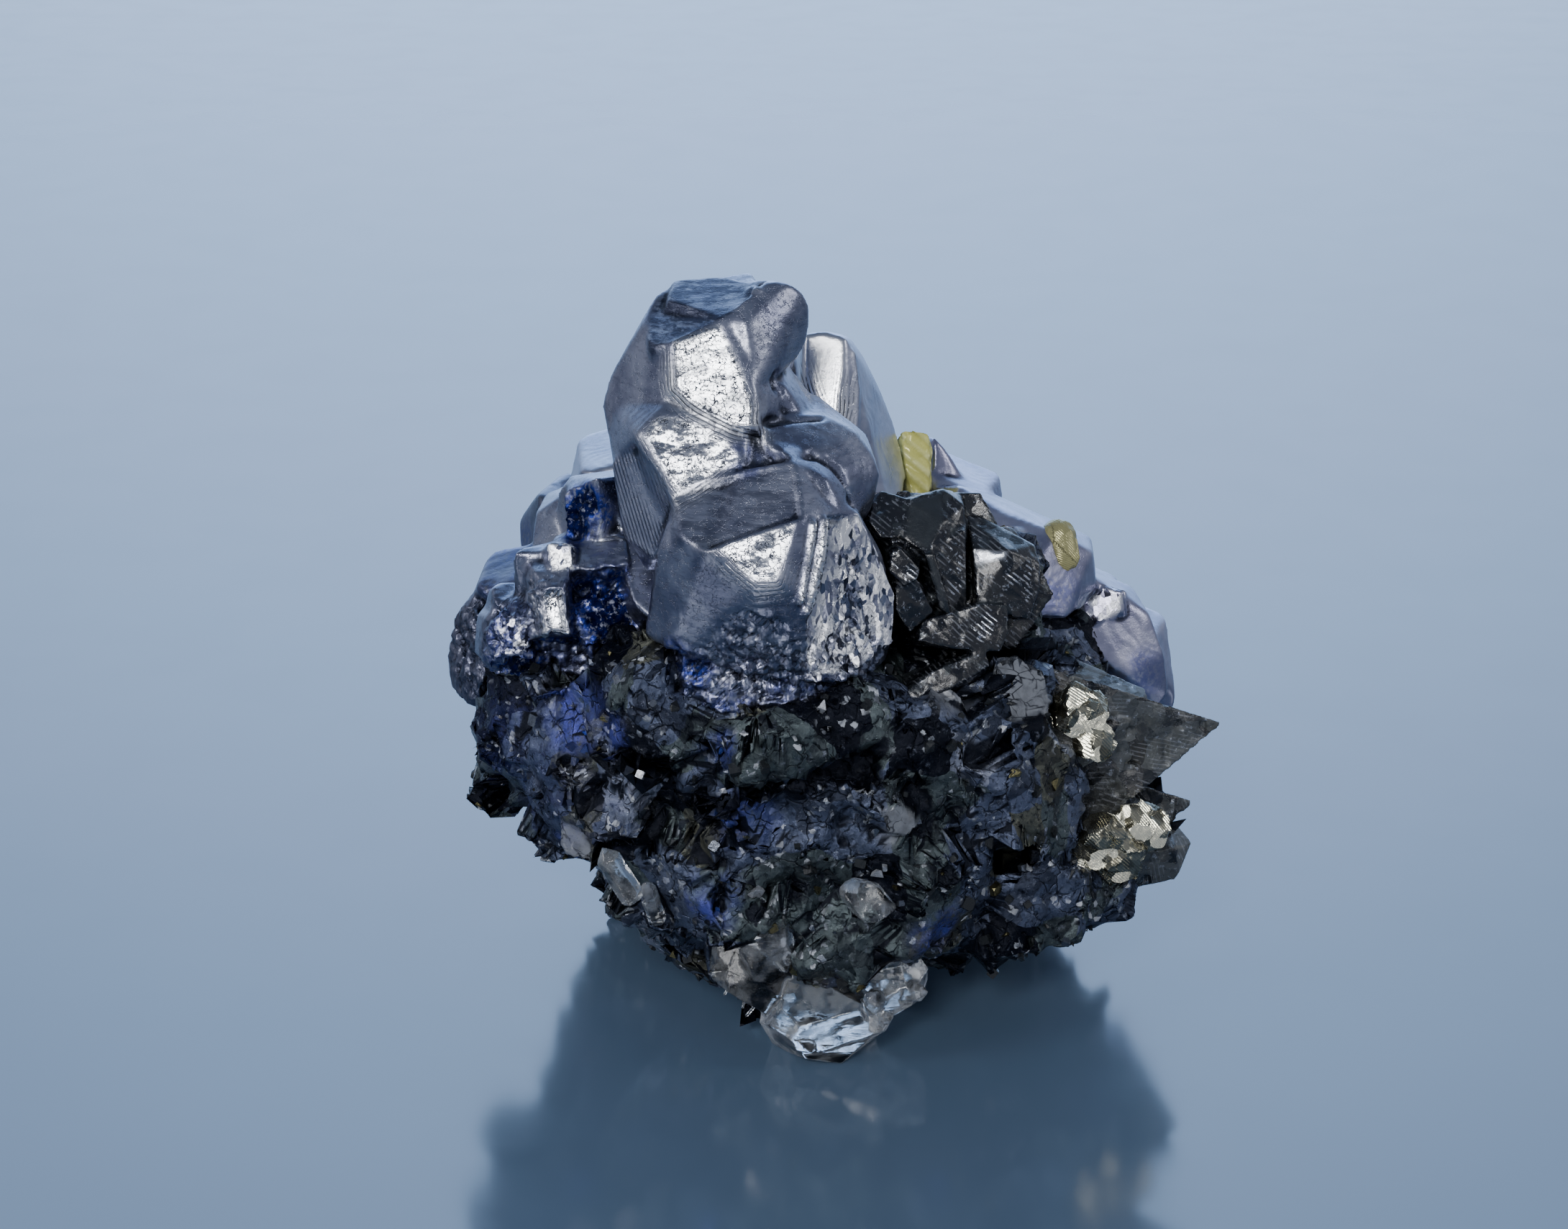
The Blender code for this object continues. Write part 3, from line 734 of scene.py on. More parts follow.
@dataclass(frozen=True)
class GalenaFinish:
    """Lead-grey metal with growth lines, fine crackle and blue tarnish."""

    name: str = "galena_metal"
    pale: Colour = (0.43, 0.45, 0.55)
    grey: Colour = (0.23, 0.245, 0.34)
    mirror: Colour = (0.80, 0.82, 0.86)
    veil: Colour = (0.13, 0.16, 0.24)
    dusk: Colour = (0.085, 0.095, 0.15)
    seam_and_shade: Colour = (0.015, 0.018, 0.03)
    blue: Colour = (0.04, 0.07, 0.38)
    night: Colour = (0.006, 0.010, 0.065)
    line_gap: float = 0.26
    crackle: float = 0.5
    cracked: float = 1.0
    fleck_lean: float = 3.4

    def make(self) -> bpy.types.Material:
        """Builds the material."""
        n = Nodes(self.name)
        growth, tarnish, rim, granular = map(n.attribute, (GROWTH, TARNISH, RIM, GRANULAR))
        plate, dusk, ribbed, fleck = n.marks(Lustre.MIRROR, Lustre.DUSKY, Lustre.RIBBED, Lustre.FLECKED)
        wide, fine = n.noise(3.4, 4), n.noise(0.35, 5, 0.6)
        # The cracks, the hair cracks and the growth lines at a face's rim.
        crack = n.times(n.cracks(self.crackle, 0.06, n.warped(0.35, 0.5)), n.plus(plate, 0.12))
        crack = n.times(crack, n.cloud(0.5, 4, 0.46, 0.58, 0.0, self.cracked))
        bend = n.math("ABSOLUTE", n.less(n.noise(0.55, 3, 0.6), 0.5), 0.0)
        hair = n.times(n.fit(bend, 0.0, 0.028, self.cracked, 0.0), n.cloud(0.9, 3, 0.42, 0.52))
        lines = n.fit(n.waves(growth, self.line_gap), 0.1, 0.9)
        lined = n.times(lines, rim, n.cloud(0.9, 3, 0.38, 0.52))
        # The streaks all over, the ribs and the flecks.
        streaks = n.noise(0.8, 6, 0.7, n.stretch((4.0, 1.4, 0.42), (0, 24, 15)))
        ribs = n.waves(n.channel(n.stretch((0.25, 0.25, 0.25), (0, 17, 0)), 0), 1.0)
        ribs = n.times(n.fit(ribs, -0.2, 0.9), ribbed, n.cloud(2.0, 3, 0.36, 0.6))
        flecks = n.grains(1.0, n.stretch((0.36, 0.36, 0.7), (12, -20, 0)))
        lit = n.times(n.fit(n.channel(flecks, 0), 0.30, 0.62), n.cloud(2.2, 2, 0.28, 0.46), fleck)
        # The bright faces, under a veil of smears.
        veil = n.fit(n.noise(1.1, 6, 0.66, n.stretch((1.7, 1.2, 0.8), (0, 28, 20))), 0.45, 0.60)
        veil = n.times(veil, plate, n.fit(plate, 0.80, 1.0, 0.7 * self.cracked, 0.15 * self.cracked))
        dark = n.most(crack, n.times(hair, n.plus(plate, 0.4)), lined)
        stain = n.mix(n.fit(tarnish, 0.95, 1.5), self.blue, self.night)
        body = n.layered(
            self.grey,
            (n.fit(wide, 0.35, 0.65), self.pale),
            (n.times(dusk, n.fit(streaks, 0.40, 0.56)), self.dusk),
            (n.times(n.fit(streaks, 0.50, 0.66), 0.4 * self.cracked), self.dusk),
            (n.times(ribbed, 0.6), self.pale),
            (n.times(ribs, 0.8), self.dusk),
            (lit, self.mirror),
            (n.most(plate, n.times(rim, 0.8)), n.mix(veil, self.mirror, self.veil)),
            (n.times(dark, 0.9), self.seam_and_shade),
            (n.times(granular, n.fit(fine, 0.46, 0.66, 0.0, 0.7)), self.dusk),
            (n.times(tarnish, n.fit(fine, 0.34, 0.55)), stain),
            # painted shade: the deepest hollows are painted nearly black
            (n.fit(n.attribute(HOLLOW), 0.66, 1.0, 0.0, 0.8), self.seam_and_shade),
        )
        rough = n.plus(n.fit(wide, 0.3, 0.7, 0.26, 0.36), n.times(tarnish, 0.1), n.times(plate, -0.08))
        streaked = n.times(streaks, n.plus(dusk, 0.12))
        height = n.total((crack, -0.02), (hair, -0.012), (lined, -0.03), (fine, 0.018), (streaked, 0.06), (ribs, -0.02))
        normal = n.sparkle(flecks, n.total((fleck, 1.0), (granular, 0.6)))
        normal = n.toward(normal, MIRROR_WAY, n.times(lit, self.fleck_lean))
        normal = n.toward(normal, (0.25, 0.0, 1.0), n.times(veil, 0.5))
        return n.set(Base_Color=body, Metallic=1.0, Roughness=rough, Normal=n.relief(height, normal))


@dataclass(frozen=True)
class BlendeFinish:
    """Black zinc blende: resinous, polished, striated, with dull grey-green plates."""

    name: str = "blende_black"
    body: Colour = (0.004, 0.005, 0.008)
    rib: Colour = (0.55, 0.58, 0.64)
    dull: Colour = (0.052, 0.062, 0.070)
    line_gap: float = 0.36
    everywhere: float = 0.0
    mosaic: float = 0.0

    def make(self) -> bpy.types.Material:
        """Builds the material."""
        n = Nodes(self.name)
        plate, dusk, ribbed = n.marks(Lustre.MIRROR, Lustre.DUSKY, Lustre.RIBBED)
        lines = n.waves(n.plus(n.attribute(GROWTH), n.times(n.noise(2.5, 2), 0.22)), self.line_gap)
        fine, mottle = n.noise(0.25, 5, 0.65), n.noise(0.9, 6, 0.72)
        chips, tiles = n.grains(1.3, n.warped(0.9, 0.5)), n.grains(1.8, n.warped(1.2, 0.8))
        ribs = n.times(n.fit(lines, 0.30, 0.65), ribbed, n.cloud(1.1, 4, 0.51, 0.57, rough=0.6))
        plain = n.less(1.0, n.most(ribbed, dusk))
        faint = n.times(n.fit(lines, 0.4, 0.9), n.cloud(1.9, 3, 0.50, 0.58, 0.0, 0.22))
        patch = n.plus(n.cloud(1.5, 5, 0.50, 0.60, 0.0, 0.75, rough=0.7), self.everywhere)
        dull = n.most(n.times(dusk, n.fit(mottle, 0.3, 0.6, 1.0, 0.6)), n.times(plain, patch))
        dull = n.times(dull, n.fit(n.channel(tiles, 0), 0.2, 0.7, 1.0 - self.mosaic, 1.0 + self.mosaic))
        fleck = n.times(n.cloud(0.5, 6, 0.58, 0.66, rough=0.75), n.less(0.9, dusk))
        ribbing, bright = n.most(ribs, n.times(plain, faint)), n.most(fleck, plate)
        body = n.layered(self.body, (dull, self.dull), (ribbing, self.rib), (bright, self.rib))
        rough = n.plus(n.cloud(1.6, 3, 0.3, 0.7, 0.10, 0.20), n.times(dull, 0.25))
        shine = n.most(ribs, fleck, n.times(dull, 0.6), plate)
        deep = 1.0 + 1.5 * self.mosaic
        height = n.total((n.times(lines, ribs), 0.012), (fine, 0.02 * deep), (mottle, 0.04 * deep))
        free = n.less(0.34, n.times(n.most(plate, dusk), 0.3))
        normal = n.sparkle(chips, free, n.sparkle(tiles, 0.5 * self.mosaic))
        normal = n.relief(height, n.toward(normal, RIGHT_WAY, n.times(ribs, 0.9)))
        return n.set(Base_Color=body, Metallic=shine, Roughness=rough, IOR=1.75, Normal=normal)


@dataclass(frozen=True)
class BrassFinish:
    """Brass-yellow chalcopyrite, striated, with olive tarnish in its hollows."""

    name: str
    bright: Colour
    olive: Colour
    metal: float = 0.95
    glint: float = 0.9
    ribbed: float = 0.0
    line_gap: float = 0.16

    def make(self) -> bpy.types.Material:
        """Builds the material."""
        n = Nodes(self.name)
        lines = n.waves(n.attribute(GROWTH), self.line_gap)
        fine = n.noise(0.3, 4, 0.6)
        chips = n.grains(1.2, n.warped(0.8, 0.5))
        lit = n.fit(n.channel(chips, 0), 0.58, 0.64)
        patch = n.cloud(1.5, 4, 0.42, 0.66)
        shade = n.times(n.less(1.0, lit), n.fit(patch, 0.0, 1.0, 0.75 * self.glint, self.glint))
        furrows, hollows = n.fit(lines, -0.3, 0.9, self.ribbed, 0.0), n.fit(n.attribute(HOLLOW), 0.6, 1.0, 0.0, 0.8)
        body = n.layered(self.bright, *[(share, self.olive) for share in (shade, furrows, hollows)])
        height = n.total((lines, 0.006 + 0.08 * self.ribbed), (fine, 0.02))
        normal = n.toward(n.sparkle(chips, self.glint), RIGHT_WAY, n.times(lit, 4.0 * self.glint))
        rough = n.fit(fine, 0.3, 0.7, 0.16, 0.30)
        return n.set(Base_Color=body, Metallic=self.metal, Roughness=rough, Normal=n.relief(height, normal))


@dataclass(frozen=True)
class QuartzFinish:
    """Clear quartz with a faint smoky cast and fine growth marks."""

    name: str = "quartz_clear"
    tint: Colour = (0.93, 0.96, 0.98)

    def make(self) -> bpy.types.Material:
        """Builds the material."""
        n = Nodes(self.name)
        marks = n.noise(1.0, 3, 0.5, n.stretch((2.2, 2.2, 0.25)))
        rough = n.cloud(0.8, 3, 0.4, 0.7, 0.04, 0.22)
        clear = n.cloud(1.6, 4, 0.40, 0.62, 1.0, 0.86, rough=0.6)
        normal = n.relief(n.total((n.noise(0.3, 3), 0.02), (marks, 0.03)))
        return n.set(Base_Color=self.tint, Roughness=rough, IOR=1.544, Transmission_Weight=clear, Normal=normal)


@dataclass(frozen=True)
class RockFinish:
    """Broken ore: glinting chips of slate, black and olive, speckled with metal."""

    name: str = "ore_rock"
    black: Colour = (0.004, 0.006, 0.014)
    slate: Colour = (0.125, 0.15, 0.23)
    green: Colour = (0.115, 0.145, 0.15)
    olive: Colour = (0.145, 0.15, 0.12)
    grey: Colour = (0.30, 0.33, 0.42)
    plate: Colour = (0.50, 0.53, 0.58)
    slab: Colour = (0.27, 0.285, 0.31)
    blue: Colour = (0.10, 0.12, 0.46)
    chunk: float = 4.4
    chip: float = 1.3
    grain: float = 0.42

    def make(self) -> bpy.types.Material:
        """Builds the material."""
        n = Nodes(self.name)
        plate, black = n.attribute(Lustre.MIRROR.value), self.black
        chunks = n.grains(self.chunk, n.warped(2.0, 1.6))
        chips = n.grains(self.chip, n.warped(0.8, 0.5))
        grains = n.grains(self.grain, n.warped(0.5, 0.4))
        stops = ((0.0, self.slate), (0.40, self.green), (0.66, black), (0.84, self.olive), (0.93, self.grey))
        mottle = n.noise(0.5, 6, 0.72)
        # Some grains are metal, and the brightest of them glint.
        pick = n.channel(grains, 1)
        speck = n.times(n.levels(pick, (0.0, 0.0), (0.88, 1.0)), n.cloud(2.4, 2, 0.45, 0.6))
        glint = n.times(n.levels(pick, (0.0, 0.0), (0.94, 1.0)), n.cloud(1.8, 2, 0.50, 0.60))
        # The flat slabs, with cracks like brickwork.
        bricks = n.times(n.cracks(1.0, 0.05, n.stretch((2.0, 1.0, 0.8), (0, 30, 0))), n.cloud(2.0, 2, 0.45, 0.55))
        slab = n.mix(n.cloud(0.8, 4, 0.4, 0.7, 0.0, 0.4), self.slab, black)
        seams = n.times(n.cracks(1.5, 0.05, n.warped(1.2, 1.2)), n.cloud(1.6, 3, 0.44, 0.56))
        body = n.layered(
            n.palette(n.channel(chunks, 0), *stops, stepped=True),
            (n.fit(n.channel(chips, 2), 0.45, 0.95, 0.0, 0.7), black),
            (n.fit(mottle, 0.52, 0.64, 0.0, 0.75), black),
            (n.cloud(0.7, 5, 0.57, 0.72, 0.0, 0.5, rough=0.7), self.grey),
            (speck, self.plate),
            (plate, n.mix(bricks, slab, black)),
            (n.times(n.attribute(TARNISH), n.cloud(0.5, 5, 0.32, 0.50, rough=0.65)), self.blue),
            (n.times(seams, 0.8), black),
            # painted shade: the hollows and the cracks are painted black
            (n.fit(n.attribute(HOLLOW), 0.54, 0.74, 0.0, 0.97), black),
        )
        free = n.less(1.0, n.times(plate, 0.9))
        normal = n.sparkle(chips, n.times(free, 0.34))
        normal = n.sparkle(grains, n.times(free, n.plus(n.times(speck, 0.9), 0.22)), normal)
        normal = n.toward(normal, MIRROR_WAY, n.times(glint, 2.5))
        height = n.times(n.total((n.noise(0.2, 5, 0.7), 0.045), (mottle, 0.08), (seams, -0.06)), free)
        metal, rough = n.less(0.72, n.times(plate, 0.52)), n.cloud(0.6, 4, 0.3, 0.7, 0.24, 0.46)
        return n.set(Base_Color=body, Metallic=metal, Roughness=rough, Normal=n.relief(height, normal))


@dataclass(frozen=True)
class GrainFinish:
    """Small crystals of mixed ore on the rock, each of its own tone."""

    name: str = "ore_grains"
    black: Colour = (0.02, 0.023, 0.026)
    grey: Colour = (0.20, 0.22, 0.26)
    olive: Colour = (0.20, 0.18, 0.09)
    pale: Colour = (0.46, 0.48, 0.52)
    blue: Colour = (0.04, 0.08, 0.42)

    def make(self) -> bpy.types.Material:
        """Builds the material."""
        n = Nodes(self.name)
        tone, fine = n.attribute(TONE), n.noise(0.2, 4, 0.65)
        stops = ((0.0, self.black), (0.50, self.grey), (0.78, self.olive), (0.92, self.pale))
        tarnish = n.times(n.attribute(TARNISH), n.cloud(0.7, 3, 0.34, 0.5))
        speckle = n.fit(fine, 0.45, 0.7, 0.0, 0.5)
        body = n.layered(n.palette(tone, *stops, stepped=True), (speckle, self.black), (tarnish, self.blue))
        metal = n.most(n.levels(tone, (0.0, 0.2), (0.50, 0.95), (0.92, 0.5)), tarnish)
        rough = n.cloud(0.5, 3, 0.3, 0.7, 0.18, 0.42)
        return n.set(Base_Color=body, Metallic=metal, Roughness=rough, Normal=n.relief(n.times(fine, 0.03)))


# ---------------------------------------------------------------------------- sub-assemblies


@dataclass
class MeltedGalena:
    """A group of galena crystals whose edges look melted, with growth terraces on their faces."""

    node: str
    voxel: float = 0.21
    melting: int = 4
    terrace: float = 0.035
    terrace_gap: float = 0.42
    rim_width: float = 1.2
    rim_depth: float = 1.5
    swirl: float = 4.2
    sink: float = 0.02
    cut: tuple[Point, Point] | None = None
    growths: tuple[Hull | Arch, ...] = ()
    faces: tuple[Face, ...] = ()
    seams: tuple[Seam, ...] = ()
    granular: tuple[Patch, ...] = ()
    patches: tuple[Patch, ...] = ()
    seed: int = 3

    def build(self, material: bpy.types.Material) -> bpy.types.Object:
        """Builds the piece that stands for the group."""
        surface = Surface(self.node, self.voxel, self.growths, self.cut)
        surface.melt(self.melting)
        for face in self.faces:
            surface.points = face.flatten(surface.points)
        surface.melt(2, crease=0.6)
        points = surface.points
        marks = {kind: gathered([face for face in self.faces if face.lustre is kind], points) for kind in Lustre}
        growth, rim = self.growth(points)
        level = growth / self.terrace_gap
        step = level - np.floor(level)
        flat = np.maximum.reduce(list(marks.values()))
        height = self.terrace * (1 - flat) * (np.clip(step * 3.0, 0, 1) - step) - self.sink
        rough = gathered(self.granular, points) * (1 - marks[Lustre.MIRROR])
        if self.granular:
            height = height * (1 - rough) + rough * grain_relief(points, self.seed)
        ridges = gathered(self.seams, points, np.minimum)
        surface.raise_by(height - gathered(self.seams, points) - ridges)
        marks[Lustre.MIRROR] = np.maximum(marks[Lustre.MIRROR], np.clip(-ridges * 4 - 0.6, 0, 1))
        surface.mark(marks)
        surface.layers |= {GROWTH: growth, RIM: rim, GRANULAR: rough, HOLLOW: surface.hollow(3)}
        surface.layers[TARNISH] = tarnish_of(points, self.patches, self.seed)
        return surface.finish(self.node + "_melted", Mineral.GALENA, material)

    def growth(self, points: Array) -> tuple[Array, Array]:
        """Lays the growth lines.

        Args:
            points: places on the surface.

        Returns:
            Each place's height in the growth's layers, and how far it belongs to a mirror face's
            lower right rim, where the layers follow the face's outline.
        """
        growth = 2.2 * lattice_noise(points, self.swirl, self.seed)
        growth += 0.5 * lattice_noise(points, 1.6, self.seed + 1)
        rim = np.zeros(len(points))
        for face in self.faces:
            if face.lustre is Lustre.MIRROR:
                inside = face.inside(points) + 0.12 * lattice_noise(points, 1.1, self.seed + 2)
                near = np.clip(1 - np.abs(inside + 0.1) / self.rim_width, 0, 1)
                near *= np.abs(face.level(points)) < self.rim_depth
                across, _, up = (points - np.mean(face.corners, axis=0)).T
                near *= face.strength**3 * np.clip(0.4 - up / 2.5 - across / 6, 0, 1)
                growth = np.where(near > rim, inside, growth)
                rim = np.maximum(rim, near)
        return growth, rim


def grain_relief(points: Array, seed: int, lump: float = 1.4, furrow: float = 0.13, sink: float = 0.12) -> Array:
    """Makes a granular crust of lumps, and lumps half as wide, with furrows between.

    Args:
        points: places, in millimetres.
        seed: picks the lumps.
        lump: width of a large lump.
        furrow: depth of a furrow.
        sink: how far the whole crust lies below the surface.

    Returns:
        The crust's height at each place.
    """
    away, edge, tilt = cells(points, lump, seed + 4)
    small_away, _, small_tilt = cells(points, 0.5 * lump, seed + 5)
    lumps = dots(away, tilt) * 0.32 + tilt[:, 0] * 0.07
    lumps += dots(small_away, small_tilt) * 0.42 + small_tilt[:, 1] * 0.05
    return lumps - furrow * near_line(edge, 0.16) - sink


@dataclass
class StriatedCrystal:
    """A group of crisp crystals with stepped, parallel striations."""

    node: str
    mineral: Mineral
    run: Point
    voxel: float = 0.15
    rounding: int = 1
    band: float = 0.40
    depth: float = 0.08
    chips: float = 0.12
    waver: float = 0.25
    facets: float = 0.0
    bundle: float = 4.2
    sill: float = 0.13
    chip_size: float = 0.9
    sink: float = 0.02
    cut: tuple[Point, Point] | None = None
    growths: tuple[Hull | Arch, ...] = ()
    faces: tuple[Face, ...] = ()
    seed: int = 11

    def build(self, material: bpy.types.Material) -> bpy.types.Object:
        """Builds the piece that stands for the group."""
        surface = Surface(self.node, self.voxel, self.growths, self.cut)
        surface.melt(self.rounding, crease=1.0)
        if self.facets:
            surface.chisel(self.facets, keep=0.8, lean=0.3, seed=self.seed)
        marks = {kind: np.zeros(len(surface.points)) for kind in Lustre}
        for face in self.faces:
            marks[face.lustre] = np.maximum(marks[face.lustre], face.at(surface.points))
            if face.lustre is Lustre.MIRROR:
                surface.points = face.flatten(surface.points)
        points = surface.points
        # The stripes run in bundles, each a little its own way, and each stripe has its own height.
        _, _, tilt = cells(points, self.bundle, self.seed + 9)
        along = dots(points, unit(self.run) + self.waver * tilt) + 0.05 * lattice_noise(points, 2.2, self.seed)
        band = np.floor(along / self.band).astype(np.int64)
        block = np.stack([band, band * 7, np.round(tilt[:, 0] * 9).astype(np.int64)], axis=1)
        part = along / self.band - band
        steps = hashed(block, self.seed) + 0.45 * near_line(np.minimum(part, 1 - part), self.sill)
        plain = 1 - np.maximum(marks[Lustre.MIRROR], marks[Lustre.DUSKY])
        uneven = np.clip(0.3 + 1.6 * lattice_noise(points, 3.4, self.seed + 3), 0, 1)
        ribbed = np.maximum(marks[Lustre.RIBBED], uneven * plain)
        chip = np.clip(lattice_noise(points, self.chip_size, self.seed + 2) - 0.4, 0, 1) * plain
        surface.raise_by(-self.depth * ribbed * steps - self.chips * chip * 2 - self.sink)
        surface.mark(marks)
        surface.layers |= {GROWTH: along, HOLLOW: surface.hollow(2)}
        return surface.finish(self.node + "_striated", self.mineral, material)


@dataclass
class ClearQuartz:
    """A group of clear quartz crystals."""

    node: str
    voxel: float = 0.13
    uneven: float = 0.05
    lump: float = 1.1
    flat_foot: float = 0.8
    front: float = -13.0
    seed: int = 17

    def build(self, material: bpy.types.Material) -> bpy.types.Object:
        """Builds the piece that stands for the group. Small prisms may grow at its front, clear of the floor."""
        surface = Surface(self.node, self.voxel)
        surface.melt(2, crease=1.0)
        points = surface.points
        _, along, up = points.T
        lumps = lattice_noise(points, self.lump, self.seed) + 0.5 * lattice_noise(points, 0.5, self.seed + 1) - 1
        surface.raise_by(self.uneven * lumps * np.clip(up / self.flat_foot, 0, 1))
        surface.layers[SHARE] = np.clip((up - self.flat_foot) / 1.5, 0, 1) * (along < self.front)
        return surface.finish(self.node + "_clear", Mineral.QUARTZ, material)


@dataclass(frozen=True)
class Breakage:
    """One scale of the rock's breaks: its chips' width, how flat they are, how far they lean, and their steps."""

    size: float
    keep: float
    lean: float
    step: float
    crack: float = 0.0
    crack_width: float = 1.0


@dataclass
class BrokenRock:
    """The rock: broken ore, chipped at several scales, with cracks, hollows and patches of tarnish."""

    node: str = "matrix"
    voxel: float = 0.37
    breakage: tuple[Breakage, ...] = (
        Breakage(6.6, 0.88, 0.22, 0.50, 1.0, 0.30),
        Breakage(3.0, 0.90, 0.28, 0.22, 0.5, 0.20),
        Breakage(1.4, 0.60, 0.18, 0.06),
    )
    sink: float = 0.25
    pit: float = 2.6
    pit_depth: float = 0.8
    deepest: float = 1.8
    highest: float = 0.2
    flat_foot: float = 0.25
    bare_foot: float = 1.2
    growths: tuple[Hull, ...] = ()
    patches: tuple[Patch, ...] = ()
    seams: tuple[Seam, ...] = ()
    faces: tuple[Face, ...] = ()
    seed: int = 23

    def build(self, material: bpy.types.Material) -> bpy.types.Object:
        """Builds the piece that stands for the rock."""
        surface = Surface(self.node, self.voxel, self.growths)
        surface.melt(2, crease=1.0)
        start = surface.points.copy()
        flat, crack = gathered(self.faces, start), gathered(self.seams, start)
        seeds = [self.seed + 40 * turn for turn in range(len(self.breakage))]
        height = np.full(len(start), -self.sink)
        for scale, seed in zip(self.breakage, seeds):
            _, edge, tilt = cells(start, scale.size, seed)
            height += 1.7 * scale.step * tilt.mean(axis=1)
            height -= scale.crack * near_line(edge, scale.crack_width)
        height -= self.pit_depth * np.clip(3 * (lattice_noise(start, self.pit, self.seed + 5) - 0.45), 0, 1)
        surface.raise_by(np.clip(height, -self.deepest, self.highest))
        for scale, seed in zip(self.breakage, seeds):
            surface.chisel(scale.size, scale.keep, scale.lean, seed)
        surface.raise_by(-crack)
        # The points that the rock stands on, and the flat faces, stay where they are.
        firm = np.clip(start[:, 2] - self.flat_foot, 0, 1) * (1 - flat)
        surface.points = start + (surface.points - start) * firm[:, None]
        for face in self.faces:
            surface.points = face.flatten(surface.points)
        surface.layers = {
            # the hollows and the cracks, which the rock's material paints black: painted shade
            HOLLOW: np.clip(surface.hollow(2) + 0.5 * crack, 0, 1),
            Lustre.MIRROR.value: flat,
            TARNISH: tarnish_of(surface.points, self.patches, self.seed),
            SHARE: (1 - flat) * np.clip((surface.points[:, 2] - self.bare_foot) / 1.5, 0, 1),
        }
        return surface.finish("broken_rock", Mineral.ROCK, material)


# ---------------------------------------------------------------------------- small crystals


def small_crystals(habit: Habit, count: int, seed: int) -> bpy.types.Collection:
    """Makes a set of small crystals, about 2 mm across before they are scaled.

    Args:
        habit: their shape.
        count: how many different ones.
        seed: picks the random ones.

    Returns:
        A collection of them, outside the scene.
    """
    rng = np.random.default_rng(seed)
    crystals = bpy.data.collections.new(habit.value + "_crystals")
    for index in range(count):
        if habit is Habit.NEEDLE:
            around = [(math.cos(math.tau * k / 6), math.sin(math.tau * k / 6)) for k in range(6)]
            length = rng.uniform(2.4, 4.2)
            points = [(0.5 * x, 0.5 * y, z) for z in (-0.6, length - 0.7) for x, y in around]
            points.append((rng.uniform(-0.1, 0.1), rng.uniform(-0.1, 0.1), length))
        elif habit is Habit.BLOCK:
            sides, cut = rng.uniform(0.65, 1.0, 3), rng.uniform(0.55, 0.9)
            corners = [sides * np.where(axis == np.arange(3), cut, 1) for axis in range(3)]
            points = [np.array(signs) * corner for signs in product((-1, 1), repeat=3) for corner in corners]
        else:
            spots = rng.normal(size=(9, 3))
            spots /= np.linalg.norm(spots, axis=1)[:, None]
            points = list(spots * rng.uniform(0.6, 1.0, 3))
        bm = bmesh.new()
        for point in points:
            bm.verts.new(Vector(point) * MM)
        bmesh.ops.convex_hull(bm, input=bm.verts[:])
        bmesh.ops.dissolve_limit(bm, angle_limit=math.radians(2), verts=bm.verts[:], edges=bm.edges[:])
        bmesh.ops.recalc_face_normals(bm, faces=bm.faces[:])
        mesh = mesh_of(bm, f"{habit.value}_{index}")
        crystals.objects.link(bpy.data.objects.new(mesh.name, mesh))
    return crystals


